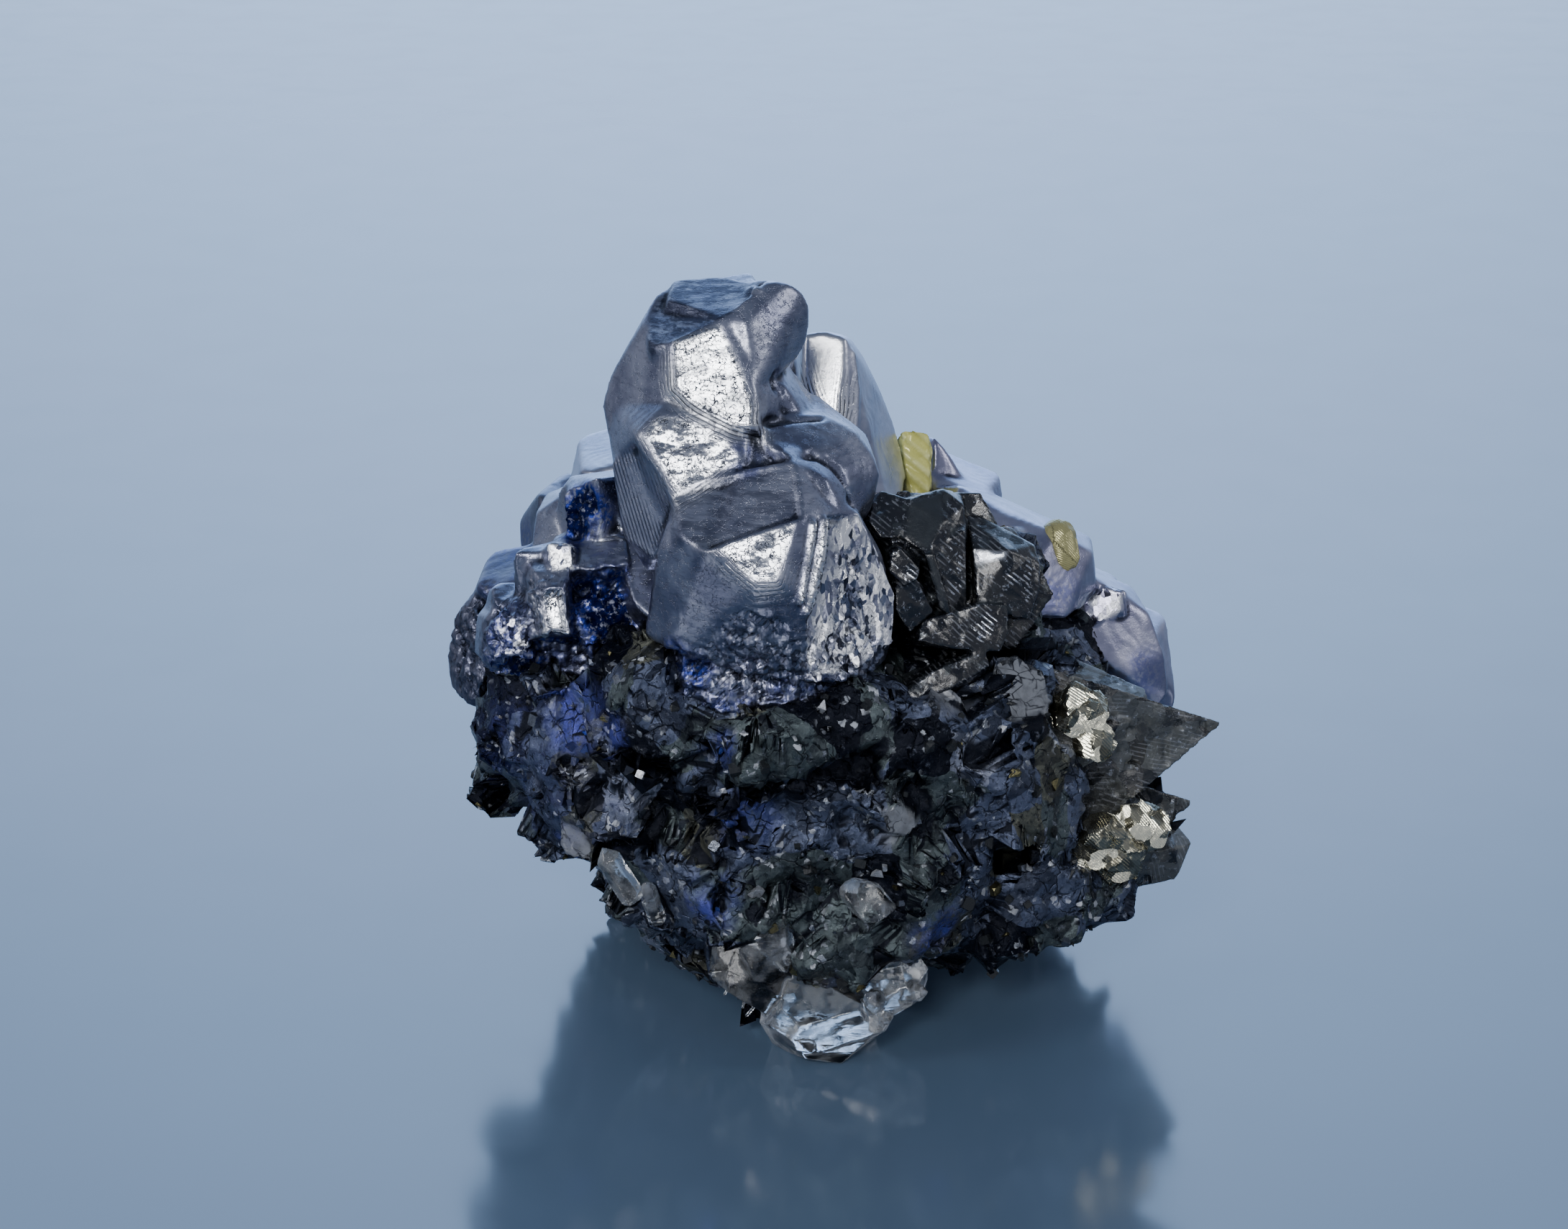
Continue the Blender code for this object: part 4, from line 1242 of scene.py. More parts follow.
@dataclass
class CrystalField:
    """Small crystals grown over a surface by geometry nodes."""

    name: str
    habit: Habit
    mineral: Mineral
    density: float
    smallest: float
    largest: float
    lean: float = math.pi
    kinds: int = 14
    seed: int = 5

    def tree(self) -> bpy.types.NodeTree:
        """Builds the geometry nodes."""
        tree = bpy.data.node_groups.new(self.name + "_growth", "GeometryNodeTree")
        tree.is_modifier = True
        inputs = {"Geometry": "Geometry", "Crystals": "Collection", "Material": "Material"}
        inputs |= dict.fromkeys(("Density", "Smallest", "Largest", "Lean"), "Float")
        for title, kind in inputs.items():
            tree.interface.new_socket(title, in_out="INPUT", socket_type="NodeSocket" + kind)
        tree.interface.new_socket("Geometry", in_out="OUTPUT", socket_type="NodeSocketGeometry")
        g = Graph(tree)
        given = g.add("NodeGroupInput").outputs
        weight = g.add("GeometryNodeInputNamedAttribute", {"Name": SHARE}).outputs["Attribute"]
        values = {"Mesh": given["Geometry"], "Density": g.times(weight, given["Density"]), "Seed": self.seed}
        spread = g.add("GeometryNodeDistributePointsOnFaces", values).outputs
        lean = self.random(g, "FLOAT_VECTOR", 1, {0: g.times(given["Lean"], -1.0), 1: given["Lean"]}).outputs[0]
        values = {0: spread["Rotation"], 1: lean}
        turned = g.add("FunctionNodeRotateRotation", values, rotation_space="LOCAL").outputs[0]
        size = self.random(g, "FLOAT", 2, {2: given["Smallest"], 3: given["Largest"]}).outputs[1]
        values = {"Collection": given["Crystals"], "Separate Children": True, "Reset Children": True}
        kinds = g.add("GeometryNodeCollectionInfo", values).outputs[0]
        values = {"Points": spread["Points"], "Instance": kinds, "Rotation": turned, "Scale": size}
        grown = g.add("GeometryNodeInstanceOnPoints", {**values, "Pick Instance": True}).outputs[0]
        values = {"Geometry": grown, "Name": TONE, "Value": self.random(g, "FLOAT", 3, {}).outputs[1]}
        toned = g.add("GeometryNodeStoreNamedAttribute", values, data_type="FLOAT", domain="INSTANCE").outputs[0]
        whole = g.add("GeometryNodeRealizeInstances", {0: toned}).outputs[0]
        values = {"Geometry": whole, "Material": given["Material"]}
        g.add("NodeGroupOutput", {0: g.add("GeometryNodeSetMaterial", values).outputs[0]})
        return tree

    def random(self, graph: Graph, kind: str, salt: int, values: dict[str | int, object]) -> bpy.types.Node:
        """A random value of its own for each crystal."""
        return graph.add("FunctionNodeRandomValue", {**values, "Seed": self.seed * 10 + salt}, data_type=kind)

    def build(self, ground: bpy.types.Object, material: bpy.types.Material) -> bpy.types.Object:
        """Grows the crystals.

        Args:
            ground: the piece that they grow on.
            material: what they are made of.

        Returns:
            All of them as one piece.
        """
        crystals = small_crystals(self.habit, self.kinds, self.seed)
        carrier = linked(self.name + "_carrier", ground.data)
        modifier = carrier.modifiers.new("growth", "NODES")
        modifier.node_group = self.tree()
        values = {
            "Crystals": crystals,
            "Density": self.density / MM**2,
            "Smallest": self.smallest,
            "Largest": self.largest,
            "Lean": self.lean,
            "Material": material,
        }
        for socket in modifier.node_group.interface.items_tree:
            if socket.in_out == "INPUT" and socket.name in values:
                modifier[socket.identifier] = values[socket.name]
        mesh = evaluated_mesh(carrier)
        for crystal in list(crystals.objects):
            bpy.data.objects.remove(crystal)
        bpy.data.collections.remove(crystals)
        return piece_of(self.name, mesh, read(mesh.vertices, "co").astype(float), self.mineral)


# ---------------------------------------------------------------------------- studio


@dataclass
class Studio:
    """A pale floor, soft light and the camera. Sizes are in metres."""

    target: Point = (-0.003178, -0.001621, 0.0276)
    distance: float = 0.26
    elevation: float = 20.0
    lens: float = 82.0
    nearest: float = 0.01
    floor_width: float = 6.0
    floor_colour: Colour = (0.12, 0.185, 0.28)
    floor_shade: float = 0.96
    wall: Stops = (
        (0.0, (0.28, 0.30, 0.37)),
        (0.5, (0.28, 0.30, 0.37)),
        (0.68, (0.32, 0.345, 0.41)),
        (0.85, (0.16, 0.185, 0.25)),
        (1.0, (0.14, 0.17, 0.235)),
    )
    glow_way: Point = (0.0, 1.0, 0.24)
    glow_edge: float = 0.70
    glow: Stops = (
        (0.0, (0.0, 0.0, 0.0)),
        (0.5, (0.21, 0.36, 0.60)),
        (0.82, (0.65, 1.05, 1.72)),
        (1.0, (1.20, 1.85, 3.0)),
    )

    def build(self) -> None:
        """Builds the floor, the lights, the world and the camera."""
        self.floor()
        self.camera()
        self.world()
        self.panel("key_panel", (-0.173, -0.853, 0.492), distance=0.60, width=0.15, radiance=20.0)
        self.panel("left_panel", (-0.85, -0.35, 0.40), distance=0.9, width=0.30, radiance=5.0)
        self.panel("right_panel", (0.9, -0.1, 0.45), distance=0.9, width=0.22, radiance=5.0)

    def panel(self, name: str, direction: Point, distance: float, width: float, radiance: float) -> None:
        """Hangs a soft panel that faces the specimen.

        Args:
            name: the light's name.
            direction: where it hangs, seen from the specimen.
            distance: how far away it is.
            width: its side.
            radiance: how bright its surface is.
        """
        light = bpy.data.lights.new(name, "AREA")
        light.shape = "SQUARE"
        light.size = width
        light.energy = radiance * width**2 * math.pi
        away = Vector(direction).normalized()
        lamp = linked(name, light)
        lamp.location = Vector(self.target) + away * distance
        lamp.rotation_euler = away.to_track_quat("Z", "Y").to_euler()

    def floor(self) -> None:
        """Lays the floor: pale, smooth and slightly glossy."""
        bm = bmesh.new()
        bmesh.ops.create_grid(bm, x_segments=1, y_segments=1, size=self.floor_width / 2)
        mesh = mesh_of(bm, "floor")
        n = Nodes("floor_pale")
        deeper = tuple(self.floor_shade * channel for channel in self.floor_colour)
        body = n.mix(n.cloud(60.0, 3, 0.3, 0.7), self.floor_colour, deeper)
        mesh.materials.append(n.set(Base_Color=body, Roughness=n.cloud(9.0, 4, 0.3, 0.7, 0.10, 0.16), IOR=2.0))
        plane = linked("floor", mesh)

    def world(self) -> None:
        """Lights the room: dark in front, paler behind, with a soft glow low on the back wall."""
        world = bpy.data.worlds.new("room")
        bpy.context.scene.world = world
        world.use_nodes = True
        g = Graph(world.node_tree)
        way = g.add("ShaderNodeTexCoord").outputs["Generated"]
        up = g.add("ShaderNodeSeparateXYZ", {0: way}).outputs["Z"]
        values = {0: way, 1: Vector(self.glow_way).normalized()}
        near = g.add("ShaderNodeVectorMath", values, operation="DOT_PRODUCT").outputs["Value"]
        wall = g.palette(g.fit(up, -1.0, 1.0, kind="LINEAR"), *self.wall)
        glow = g.palette(g.fit(near, self.glow_edge, 1.0, kind="LINEAR"), *self.glow)
        g.put(world.node_tree.nodes["Background"].inputs["Color"], g.mix(1.0, wall, glow, "ADD"))

    def camera(self) -> None:
        """Sets the camera up."""
        angle = math.radians(self.elevation)
        camera = linked("camera", bpy.data.cameras.new("camera"))
        camera.data.lens = self.lens
        camera.data.clip_start = self.nearest
        camera.location = Vector(self.target) + Vector((0, -math.cos(angle), math.sin(angle))) * self.distance
        camera.rotation_euler = Euler((math.pi / 2 - angle, 0, 0))
        bpy.context.scene.camera = camera


# ---------------------------------------------------------------------------- the specimen

# Blue tarnish on the rock, which the galena near it shares.
ROCK_BLUE = (
    Patch((-17.6, -16.0, 25.6), 3.6),
    Patch((-16.0, -18.5, 24.6), 2.4, 0.9),
    Patch((-5.8, -20.7, 19.4), 2.6),
    Patch((-8.4, -20.8, 13.3), 2.4, 0.9),
    Patch((-18.8, -12.9, 12.9), 2.6, 0.8),
    Patch((7.8, -19.6, 10.0), 2.4),
    Patch((21.4, 9.3, 24.1), 2.4, 0.7),
    Patch((-20.0, -8.0, 17.0), 2.6, 0.6),
    Patch((-7.5, -20.5, 24.5), 1.8, 0.8),
    Patch((-23.0, -8.0, 19.0), 6.5, 0.22),
    Patch((-17.5, -15.5, 19.5), 5.0, 0.2),
    Patch((2.0, 17.0, 14.0), 3.4, 0.8),
    Patch((14.0, 14.0, 12.0), 3.0, 0.7),
)

# The tower and the spire behind it: great faces, crystals, cuts, seams, crust and tarnish.
UPPER_FACE = (
    (-10.8, -13.3, 51.6), (-7.3, -13.1, 52.9), (-6.2, -14.3, 50.4), (-5.1, -15.3, 48.5), (-5.1, -16.4, 46.1),
    (-6.8, -16.2, 46.3), (-9.7, -15.3, 47.7), (-10.6, -14.8, 48.6),
)
LOWER_FACE = (
    (-13.1, -15.9, 45.6), (-11.8, -15.4, 46.9), (-10.0, -15.6, 46.9), (-7.5, -16.1, 46.2), (-5.8, -17.2, 44.3),
    (-7.8, -17.5, 43.2), (-10.4, -18.0, 41.6), (-11.0, -17.4, 42.7),
)
FRONT_FACE = (
    (-8.2, -22.3, 39.7), (-6.8, -22.3, 40.3), (-2.1, -22.0, 41.8), (-2.7, -22.8, 40.2), (-3.4, -23.7, 37.8),
    (-5.3, -23.6, 37.6), (-6.4, -23.1, 38.6),
)
LEFT_FLANK = (
    (-14.9, -12.2, 42.8), (-13.1, -15.1, 45.0), (-10.9, -16.9, 43.1), (-10.5, -17.2, 40.9), (-12.2, -15.0, 36.4),
    (-14.1, -12.4, 37.1),
)
TOWER_GROWTHS = (
    Hull(UPPER_FACE + (
        (-11.9, -7.5, 53.3), (-10.6, -6.0, 53.5), (-5.4, -5.5, 54.3), (-3.8, -12.5, 48.2), (-6.0, -12.0, 53.0),
        (-13.0, -9.5, 51.6), (-14.1, -8.5, 49.6), (-15.2, -8.5, 47.7), (-15.8, -9.0, 45.7), (-15.4, -10.5, 44.2),
        (-12.4, -13.4, 46.6), (-3.4, -12.8, 47.0), (-3.8, -14.5, 45.4), (-14.0, -1.5, 44.0), (-3.5, -1.5, 44.0),
        (-13.0, -1.5, 38.0), (-2.5, -1.5, 38.0), (-10.0, -1.5, 51.0), (-4.5, -1.5, 50.5), (-3.0, -6.0, 49.0),
    )),
    Hull((
        (-6.0, -12.0, 54.1), (-5.3, -10.8, 54.7), (-4.2, -10.2, 54.9), (-2.9, -10.0, 54.7), (-1.9, -9.6, 54.0),
        (-1.4, -9.2, 52.8), (-1.4, -9.0, 51.4), (-1.6, -9.0, 50.2), (-2.2, -9.6, 49.2), (-3.5, -10.8, 48.3),
        (-4.5, -12.0, 49.5), (-5.7, -13.4, 52.6), (-3.4, -12.0, 51.8), (-6.0, -5.0, 53.5), (-3.2, -5.0, 52.0),
        (-3.0, -5.0, 49.0), (-6.0, -5.0, 47.0), (-7.1, -12.9, 52.8), (-5.8, -13.8, 50.8), (-5.0, -14.6, 48.9),
        (-4.1, -13.3, 48.9),
    )),
    Hull((
        (-3.2, -12.2, 48.0), (-3.4, -8.0, 49.0), (-1.1, -9.5, 45.5), (-3.0, -12.6, 45.4), (-0.9, -6.0, 45.0),
        (-4.0, -3.0, 48.0), (0.6, -4.0, 40.0), (-5.0, -3.0, 40.0), (1.5, -11.0, 40.0),
    )),
    Hull((
        (-4.8, -15.5, 45.5), (-2.4, -14.5, 45.0), (0.2, -15.0, 43.7), (1.5, -15.6, 42.0), (-2.5, -18.3, 44.6),
        (-0.4, -18.6, 43.4), (0.6, -19.0, 41.5), (-5.0, -10.0, 44.0), (1.0, -10.0, 42.0), (1.0, -12.0, 38.0),
        (-5.0, -12.0, 38.0),
    )),
    Hull(LOWER_FACE + LEFT_FLANK + (
        (-15.0, -7.5, 47.1), (-15.6, -8.5, 45.6), (-15.3, -10.5, 44.2), (-12.7, -13.6, 35.0), (-10.8, -14.0, 47.9),
        (-5.5, -15.0, 46.9), (-13.7, -6.0, 47.2), (-4.0, -9.0, 45.8), (-3.0, -12.0, 43.0), (-4.0, -12.0, 36.0),
        (-11.0, -8.0, 35.0),
    )),
    Hull(FRONT_FACE + (
        (-10.5, -17.0, 41.5), (-8.3, -17.6, 42.9), (-5.8, -18.1, 44.0), (-2.5, -18.5, 44.7), (-11.7, -18.6, 38.7),
        (-0.3, -20.6, 41.4), (-0.8, -21.8, 39.0), (-1.5, -22.9, 35.5), (1.9, -17.4, 40.6), (3.6, -15.8, 37.0),
        (4.2, -15.0, 34.2), (4.4, -14.8, 31.6), (4.1, -15.5, 29.6), (3.3, -16.4, 28.6), (1.7, -19.0, 29.3),
        (-1.7, -21.0, 29.4), (-4.6, -21.8, 31.3), (-7.5, -20.8, 30.7), (-11.0, -19.2, 31.2), (-12.8, -17.0, 31.6),
        (-12.4, -17.6, 33.9), (-12.0, -18.0, 36.8), (-9.0, -10.0, 40.0), (1.5, -10.0, 39.0), (3.0, -10.0, 31.0),
        (-10.0, -10.0, 31.0),
    )),
    Hull((
        (-3.6, -20.6, 27.4), (-7.6, -20.0, 27.0), (-10.5, -18.6, 27.6), (0.5, -18.6, 27.4), (-9, -12, 27),
        (1.5, -12, 27.5), (-10.5, -18.6, 32.0), (0.5, -19.4, 31.0), (-9, -12, 33), (1.5, -12, 33),
    )),
    Hull((
        (-6.0, -15.2, 45.7), (-3.2, -14.2, 46.1), (-1.4, -15.2, 44.2), (-2.1, -16.6, 43.5), (-5.3, -17.0, 43.5),
        (-6.3, -16.2, 44.5), (-7.0, -10.0, 46.0), (-2.0, -10.0, 46.0), (-7.0, -10.0, 42.0), (-1.0, -10.0, 42.0),
    )),
    Hull((
        (-2.3, -15.0, 44.5), (0.5, -14.6, 44.0), (1.5, -14.8, 42.1), (1.5, -15.6, 40.5), (-0.4, -17.0, 40.4),
        (-2.3, -17.2, 41.7), (-3.0, -10.0, 44.0), (1.0, -10.0, 43.0), (1.0, -10.0, 38.0), (-3.0, -10.0, 38.0),
    )),
    Hull((
        (-5.0, -15.2, 46.0), (-2.8, -13.2, 46.1), (-0.1, -12.2, 45.8), (1.7, -12.2, 44.8), (2.9, -12.6, 43.3),
        (3.4, -13.0, 42.0), (3.0, -13.4, 40.3), (1.8, -15.4, 39.8), (0.1, -17.0, 40.8), (-1.2, -17.6, 41.4),
        (-2.5, -17.4, 43.7), (-4.1, -16.8, 44.5), (-0.8, -15.8, 44.3), (0.5, -16.2, 42.9), (-4.0, -6.0, 45.6),
        (-1.0, -5.0, 45.4), (2.6, -7.0, 43.0), (3.0, -8.0, 40.0), (2.6, -9.0, 37.0), (-3.0, -6.0, 38.0),
    )),
)
SPIRE_FACE = (
    (-1.8, 1.9, 47.8), (-0.1, 1.8, 48.0), (1.3, 1.5, 47.6), (1.3, 0.8, 46.1), (0.8, -1.1, 41.9), (-0.1, -1.1, 41.9),
    (-1.2, 0.1, 44.2), (-1.8, 1.0, 45.8),
)
SPIRE_GROWTHS = (
    Hull(SPIRE_FACE + (
        (-1.9, 6.0, 46.4), (-0.6, 6.0, 46.7), (0.8, 6.0, 46.6), (1.6, 6.5, 46.3), (2.7, 7.0, 44.6), (3.9, 7.5, 42.1),
        (5.0, 8.0, 39.2), (5.6, 8.0, 36.9), (6.0, 8.0, 34.9), (1.7, 2.6, 46.6), (2.0, 1.0, 43.8), (1.8, -0.4, 40.7),
        (1.3, -1.6, 37.6), (2.7, -1.2, 36.6), (-3.0, 10.0, 42.0), (3.0, 11.0, 38.0), (-3.0, 0.0, 34.0),
        (5.0, 1.0, 33.0),
    )),
)
TOWER_CUT = ((0.0, -9.0, 37.0), (0.0, -0.6, 0.8))
SPIRE_CUT = ((0.0, 5.0, 38.0), (0.9, -0.5, 0.45))
SPIRE_SEAMS = (Seam(((1.6, 1.9, 46.2), (1.9, 1.1, 43.8), (1.7, -0.1, 40.7), (1.3, -1.0, 37.6)), 0.35, -0.3),)
TOWER_FACES = (
    Face((
        (-13.1, -12.9, 50.7), (-12.5, -8.9, 52.5), (-10.8, -6.2, 53.6), (-4.2, -7.6, 55.3), (-5.4, -11.7, 54.1),
        (-7.4, -13.2, 53.3), (-10.8, -13.4, 51.6),
    ), (-0.4, -0.32, 0.86), 0.5, Lustre.DUSKY),
    Face((
        (-7.6, -13.0, 53.0), (-5.4, -11.7, 54.1), (-4.2, -9.6, 54.7), (-7.0, -7.0, 54.5), (-11.0, -6.4, 53.6),
        (-11.5, -9.5, 52.9),
    ), (-0.15, -0.25, 0.96), 0.6, Lustre.DUSKY, 0.8),
    Face(UPPER_FACE, MIRROR_WAY, 0.5),
    Face(LOWER_FACE, MIRROR_WAY, 0.5, strength=0.8),
    Face((
        (-11.7, -18.6, 38.7), (-10.5, -17.0, 41.5), (-8.3, -17.6, 42.9), (-2.5, -18.5, 44.7), (-2.0, -22.0, 41.9),
        (-8.2, -22.3, 39.7),
    ), (-0.22, -0.58, 0.78), 0.5, Lustre.DUSKY, 0.45),
    Face(FRONT_FACE, MIRROR_WAY, 0.5, strength=0.8),
    Face(LEFT_FLANK, (-0.64, -0.77, -0.02), 0.5, Lustre.RIBBED),
    Face((
        (-0.3, -20.6, 41.4), (-1.5, -22.9, 35.5), (-1.7, -21.0, 29.8), (1.7, -19.0, 29.6), (4.1, -15.5, 30.6),
        (4.2, -15.0, 34.2), (1.9, -17.4, 40.6),
    ), (0.68, -0.73, 0.07), 1.2, Lustre.FLECKED),
)
TOWER_SEAMS = (
    Seam(((-7.9, -12.9, 53.6), (-6.5, -12.2, 54.2), (-5.1, -11.0, 54.4)), 0.3, -0.3),
    Seam(
        ((-3.9, -10.5, 48.0), (-4.3, -11.4, 48.9), (-4.7, -12.0, 50.2), (-5.3, -11.9, 51.3), (-5.7, -11.5, 52.1)),
        0.22, 0.28,
    ),
    Seam(((-3.9, -10.7, 48.2), (-3.7, -11.7, 49.7), (-3.8, -11.9, 50.9), (-3.9, -11.8, 51.7)), 0.2, 0.22),
    Seam(((-3.9, -12.4, 48.8), (-3.6, -12.6, 48.2)), 0.4, 0.5),
    Seam(
        ((-2.4, -17.2, 44.0), (-1.2, -16.0, 44.2), (0.2, -16.1, 43.3), (1.0, -16.2, 42.2), (1.3, -16.2, 40.6)),
        0.4, 0.55,
    ),
    Seam(((-4.6, -14.9, 46.2), (-2.8, -13.4, 46.2), (-0.8, -12.4, 46.0)), 0.4, 0.5),
    Seam(((-1.2, -21.6, 41.2), (-1.5, -22.6, 38.6), (-2.0, -23.1, 36.4)), 0.32, -0.5),
    Seam(((-0.3, -20.9, 41.2), (-0.8, -21.9, 38.8), (-1.5, -23.0, 35.2)), 0.32, -0.6),
    Seam(((-0.7, -21.4, 41.2), (-1.1, -22.3, 38.7), (-1.8, -23.1, 35.8)), 0.24, 0.6),
    Seam(
        ((-6.8, -22.6, 38.9), (-5.8, -22.9, 37.6), (-5.3, -22.7, 35.9), (-5.5, -22.2, 34.4), (-6.1, -21.6, 33.2)),
        0.3, 0.18,
    ),
)
TOWER_GRANULAR = (
    Patch((-4.0, -21.0, 28.8), 6.0),
    Patch((-9.0, -19.0, 28.5), 4.0),
    Patch((1.5, -19.5, 30.0), 4.6),
    Patch((-5.0, -22.0, 33.4), 2.6, 0.8),
    Patch((2.2, -18.8, 35.8), 2.6, 0.6),
)
TOWER_BLUE = (
    Patch((-10.0, -19.4, 30.3), 2.3),
    Patch((-5.6, -17.3, 44.5), 1.6, 0.8),
    Patch((-2.0, -20.5, 28.5), 2.4, 0.6),
    Patch((-7.0, -20.6, 27.0), 2.4, 0.7),
)

# Cracks and flat slabs in the rock.
ROCK_SEAMS = (
    Seam(((-18.7, -16.6, 20.8), (-14.3, -19.9, 23.6), (-12.8, -20.4, 22.8), (-11.1, -19.4, 21.5)), 0.7, 1.6),
    Seam(((-11.1, -19.4, 21.5), (-9.0, -20.2, 21.2), (-7.3, -20.7, 21.3)), 0.9, 1.9),
    Seam(
        ((-7.3, -20.7, 21.4), (-2.8, -22.0, 21.8), (-0.2, -21.0, 22.4), (2.4, -20.6, 23.6), (4.6, -19.5, 25.6)),
        0.7, 1.7,
    ),
    Seam(((5.6, -21.3, 21.5), (7.2, -21.0, 18.5), (9.6, -20.0, 15.5), (12.0, -19.0, 15.0)), 0.6, 1.1),
    Seam(((-16.5, -16.5, 16.0), (-12.0, -19.5, 16.8), (-8.0, -21.0, 16.0)), 0.55, 1.1),
)
ROCK_FACES = (
    Face((
        (11.2, -14.0, 29.2), (13.0, -13.6, 29.4), (15.3, -13.6, 28.0), (15.6, -14.2, 24.9), (12.5, -15.4, 24.3),
        (10.4, -15.2, 25.9),
    ), (0.3, -0.9, 0.3), 1.0),
    Face((
        (6.4, -15.6, 28.6), (9.9, -14.8, 29.6), (10.4, -14.9, 29.2), (9.4, -15.9, 26.3), (7.0, -16.6, 25.9),
    ), (-0.05, -0.9, 0.43), 0.9),
    Face((
        (-19.4, -15.0, 14.2), (-19.0, -15.0, 17.4), (-16.2, -16.2, 16.6), (-16.0, -16.2, 14.0),
    ), (-0.35, -0.92, 0.1)),
    Face(((2.8, -21.6, 20.4), (4.8, -21.0, 21.2), (6.4, -20.4, 19.0), (4.6, -21.4, 17.4)), (0.42, -0.89, 0.1)),
)

# The galena at the left, broken off where the crystals are grown anew.
LEFT_GROWTHS = (
    Hull((
        (-18.4, -8.4, 39.2), (-18.2, -8.8, 35.7), (-16.1, -10.4, 40.8), (-16.1, -10.8, 36.6), (-14.8, -9.2, 40.6),
        (-14.1, -9.6, 36.4), (-18.4, -5.0, 39.3), (-14.8, -5.0, 39.8), (-19.0, -4.0, 32.0), (-14.0, -4.0, 32.0),
    )),
    Hull((
        (-18.1, -10.0, 36.1), (-14.1, -10.6, 36.6), (-13.7, -12.9, 35.4), (-16.4, -13.4, 35.2), (-18.2, -12.4, 35.0),
        (-18.6, -11.0, 32.6), (-14.0, -11.0, 32.6), (-19.0, -6.0, 34.0), (-14.0, -6.0, 34.0),
    )),
    Hull((
        (-17.8, -11.4, 34.0), (-13.1, -11.4, 34.0), (-13.2, -13.0, 30.1), (-17.0, -14.2, 29.6), (-17.8, -13.8, 30.9),
        (-19.0, -7.0, 29.0), (-13.0, -7.0, 29.0), (-19.0, -7.0, 33.0), (-13.0, -7.0, 33.0),
    )),
    Hull((
        (-20.6, -12.6, 34.9), (-17.9, -13.0, 35.1), (-19.9, -14.7, 34.1), (-18.3, -15.0, 34.5), (-17.8, -15.9, 31.3),
        (-19.6, -15.6, 31.3), (-20.9, -13.9, 33.0), (-20.7, -14.2, 30.4), (-21.5, -9.0, 35.0), (-18.2, -9.0, 35.2),
        (-22.0, -9.0, 28.5), (-17.5, -9.0, 28.0),
    )),
    Hull((
        (-23.3, -12.8, 31.2), (-21.3, -13.6, 31.7), (-20.8, -14.0, 29.6), (-23.2, -13.2, 28.6), (-24.0, -12.0, 29.1),
        (-24.0, -12.0, 27.5), (-21.9, -11.4, 32.4), (-25.0, -8.0, 30.0), (-25.3, -8.0, 27.0), (-21.0, -8.0, 26.5),
        (-21.0, -8.0, 33.0),
    )),
    Hull((
        (-19.6, -11.6, 36.4), (-17.8, -12.2, 36.6), (-17.7, -13.6, 35.5), (-19.3, -13.4, 35.4), (-21.0, -8.0, 34.0),
        (-18.5, -8.0, 36.0),
    )),
    Hull((
        (-20.9, -4.0, 36.2), (-18.9, -4.6, 37.8), (-18.3, -7.0, 35.5), (-20.5, -8.0, 33.9), (-21.2, -7.5, 33.2),
        (-20.5, 1.0, 36.0), (-17.0, 1.0, 37.5), (-21.0, 0.0, 31.0), (-16.0, 0.0, 31.0),
    )),
)
LEFT_CUT = ((-18.0, -11.0, 34.0), (0.0, -1.0, 0.0))
LEFT_FACES = (
    Face(((-19.9, -14.3, 33.9), (-18.3, -14.4, 34.1), (-17.9, -15.7, 31.4), (-19.6, -15.5, 31.5)), MIRROR_WAY, 0.7),
    Face(((-14.8, -9.1, 37.9), (-14.1, -9.8, 36.5), (-15.4, -9.7, 36.4)), MIRROR_WAY, 0.7),
    Face((
        (-23.6, -12.7, 31.3), (-21.2, -13.6, 31.8), (-20.7, -14.1, 29.2), (-23.4, -13.2, 28.3),
    ), MIRROR_WAY, 1.6, Lustre.FLECKED),
    Face((
        (-19.8, -11.4, 36.6), (-17.7, -12.0, 36.8), (-17.6, -13.8, 35.2), (-19.4, -13.6, 35.1),
    ), MIRROR_WAY, 1.2, Lustre.FLECKED),
)
LEFT_ROUGH = (
    Patch((-15.4, -12.5, 32.3), 3.6, 0.8),
    Patch((-22.4, -13.0, 30.4), 3.6),
    Patch((-17.3, -9.4, 38.1), 2.0, 0.7),
    Patch((-20.3, -14.5, 32.5), 3.0, 0.8),
    Patch((-17.2, -13.0, 28.5), 3.2),
    Patch((-21.4, -12.0, 27.8), 4.0),
)
LEFT_SEAMS = (
    Seam(((-18.4, -8.5, 39.2), (-18.3, -8.7, 37.8), (-18.2, -8.9, 35.9)), 0.22, -0.3),
    Seam(((-18.3, -8.6, 39.4), (-17.4, -9.5, 40.2), (-16.1, -10.5, 40.9)), 0.22, -0.3),
)
LEFT_BLUE = (
    Patch((-15.4, -12.5, 31.8), 3.6, 2.6),
    Patch((-17.3, -9.4, 38.1), 2.4, 2.6),
    Patch((-17.2, -13.5, 28.8), 3.2, 1.8),
    Patch((-21.4, -12.0, 28.0), 3.4, 1.3),
    Patch((-22.4, -13.0, 30.8), 2.4, 0.6),
)

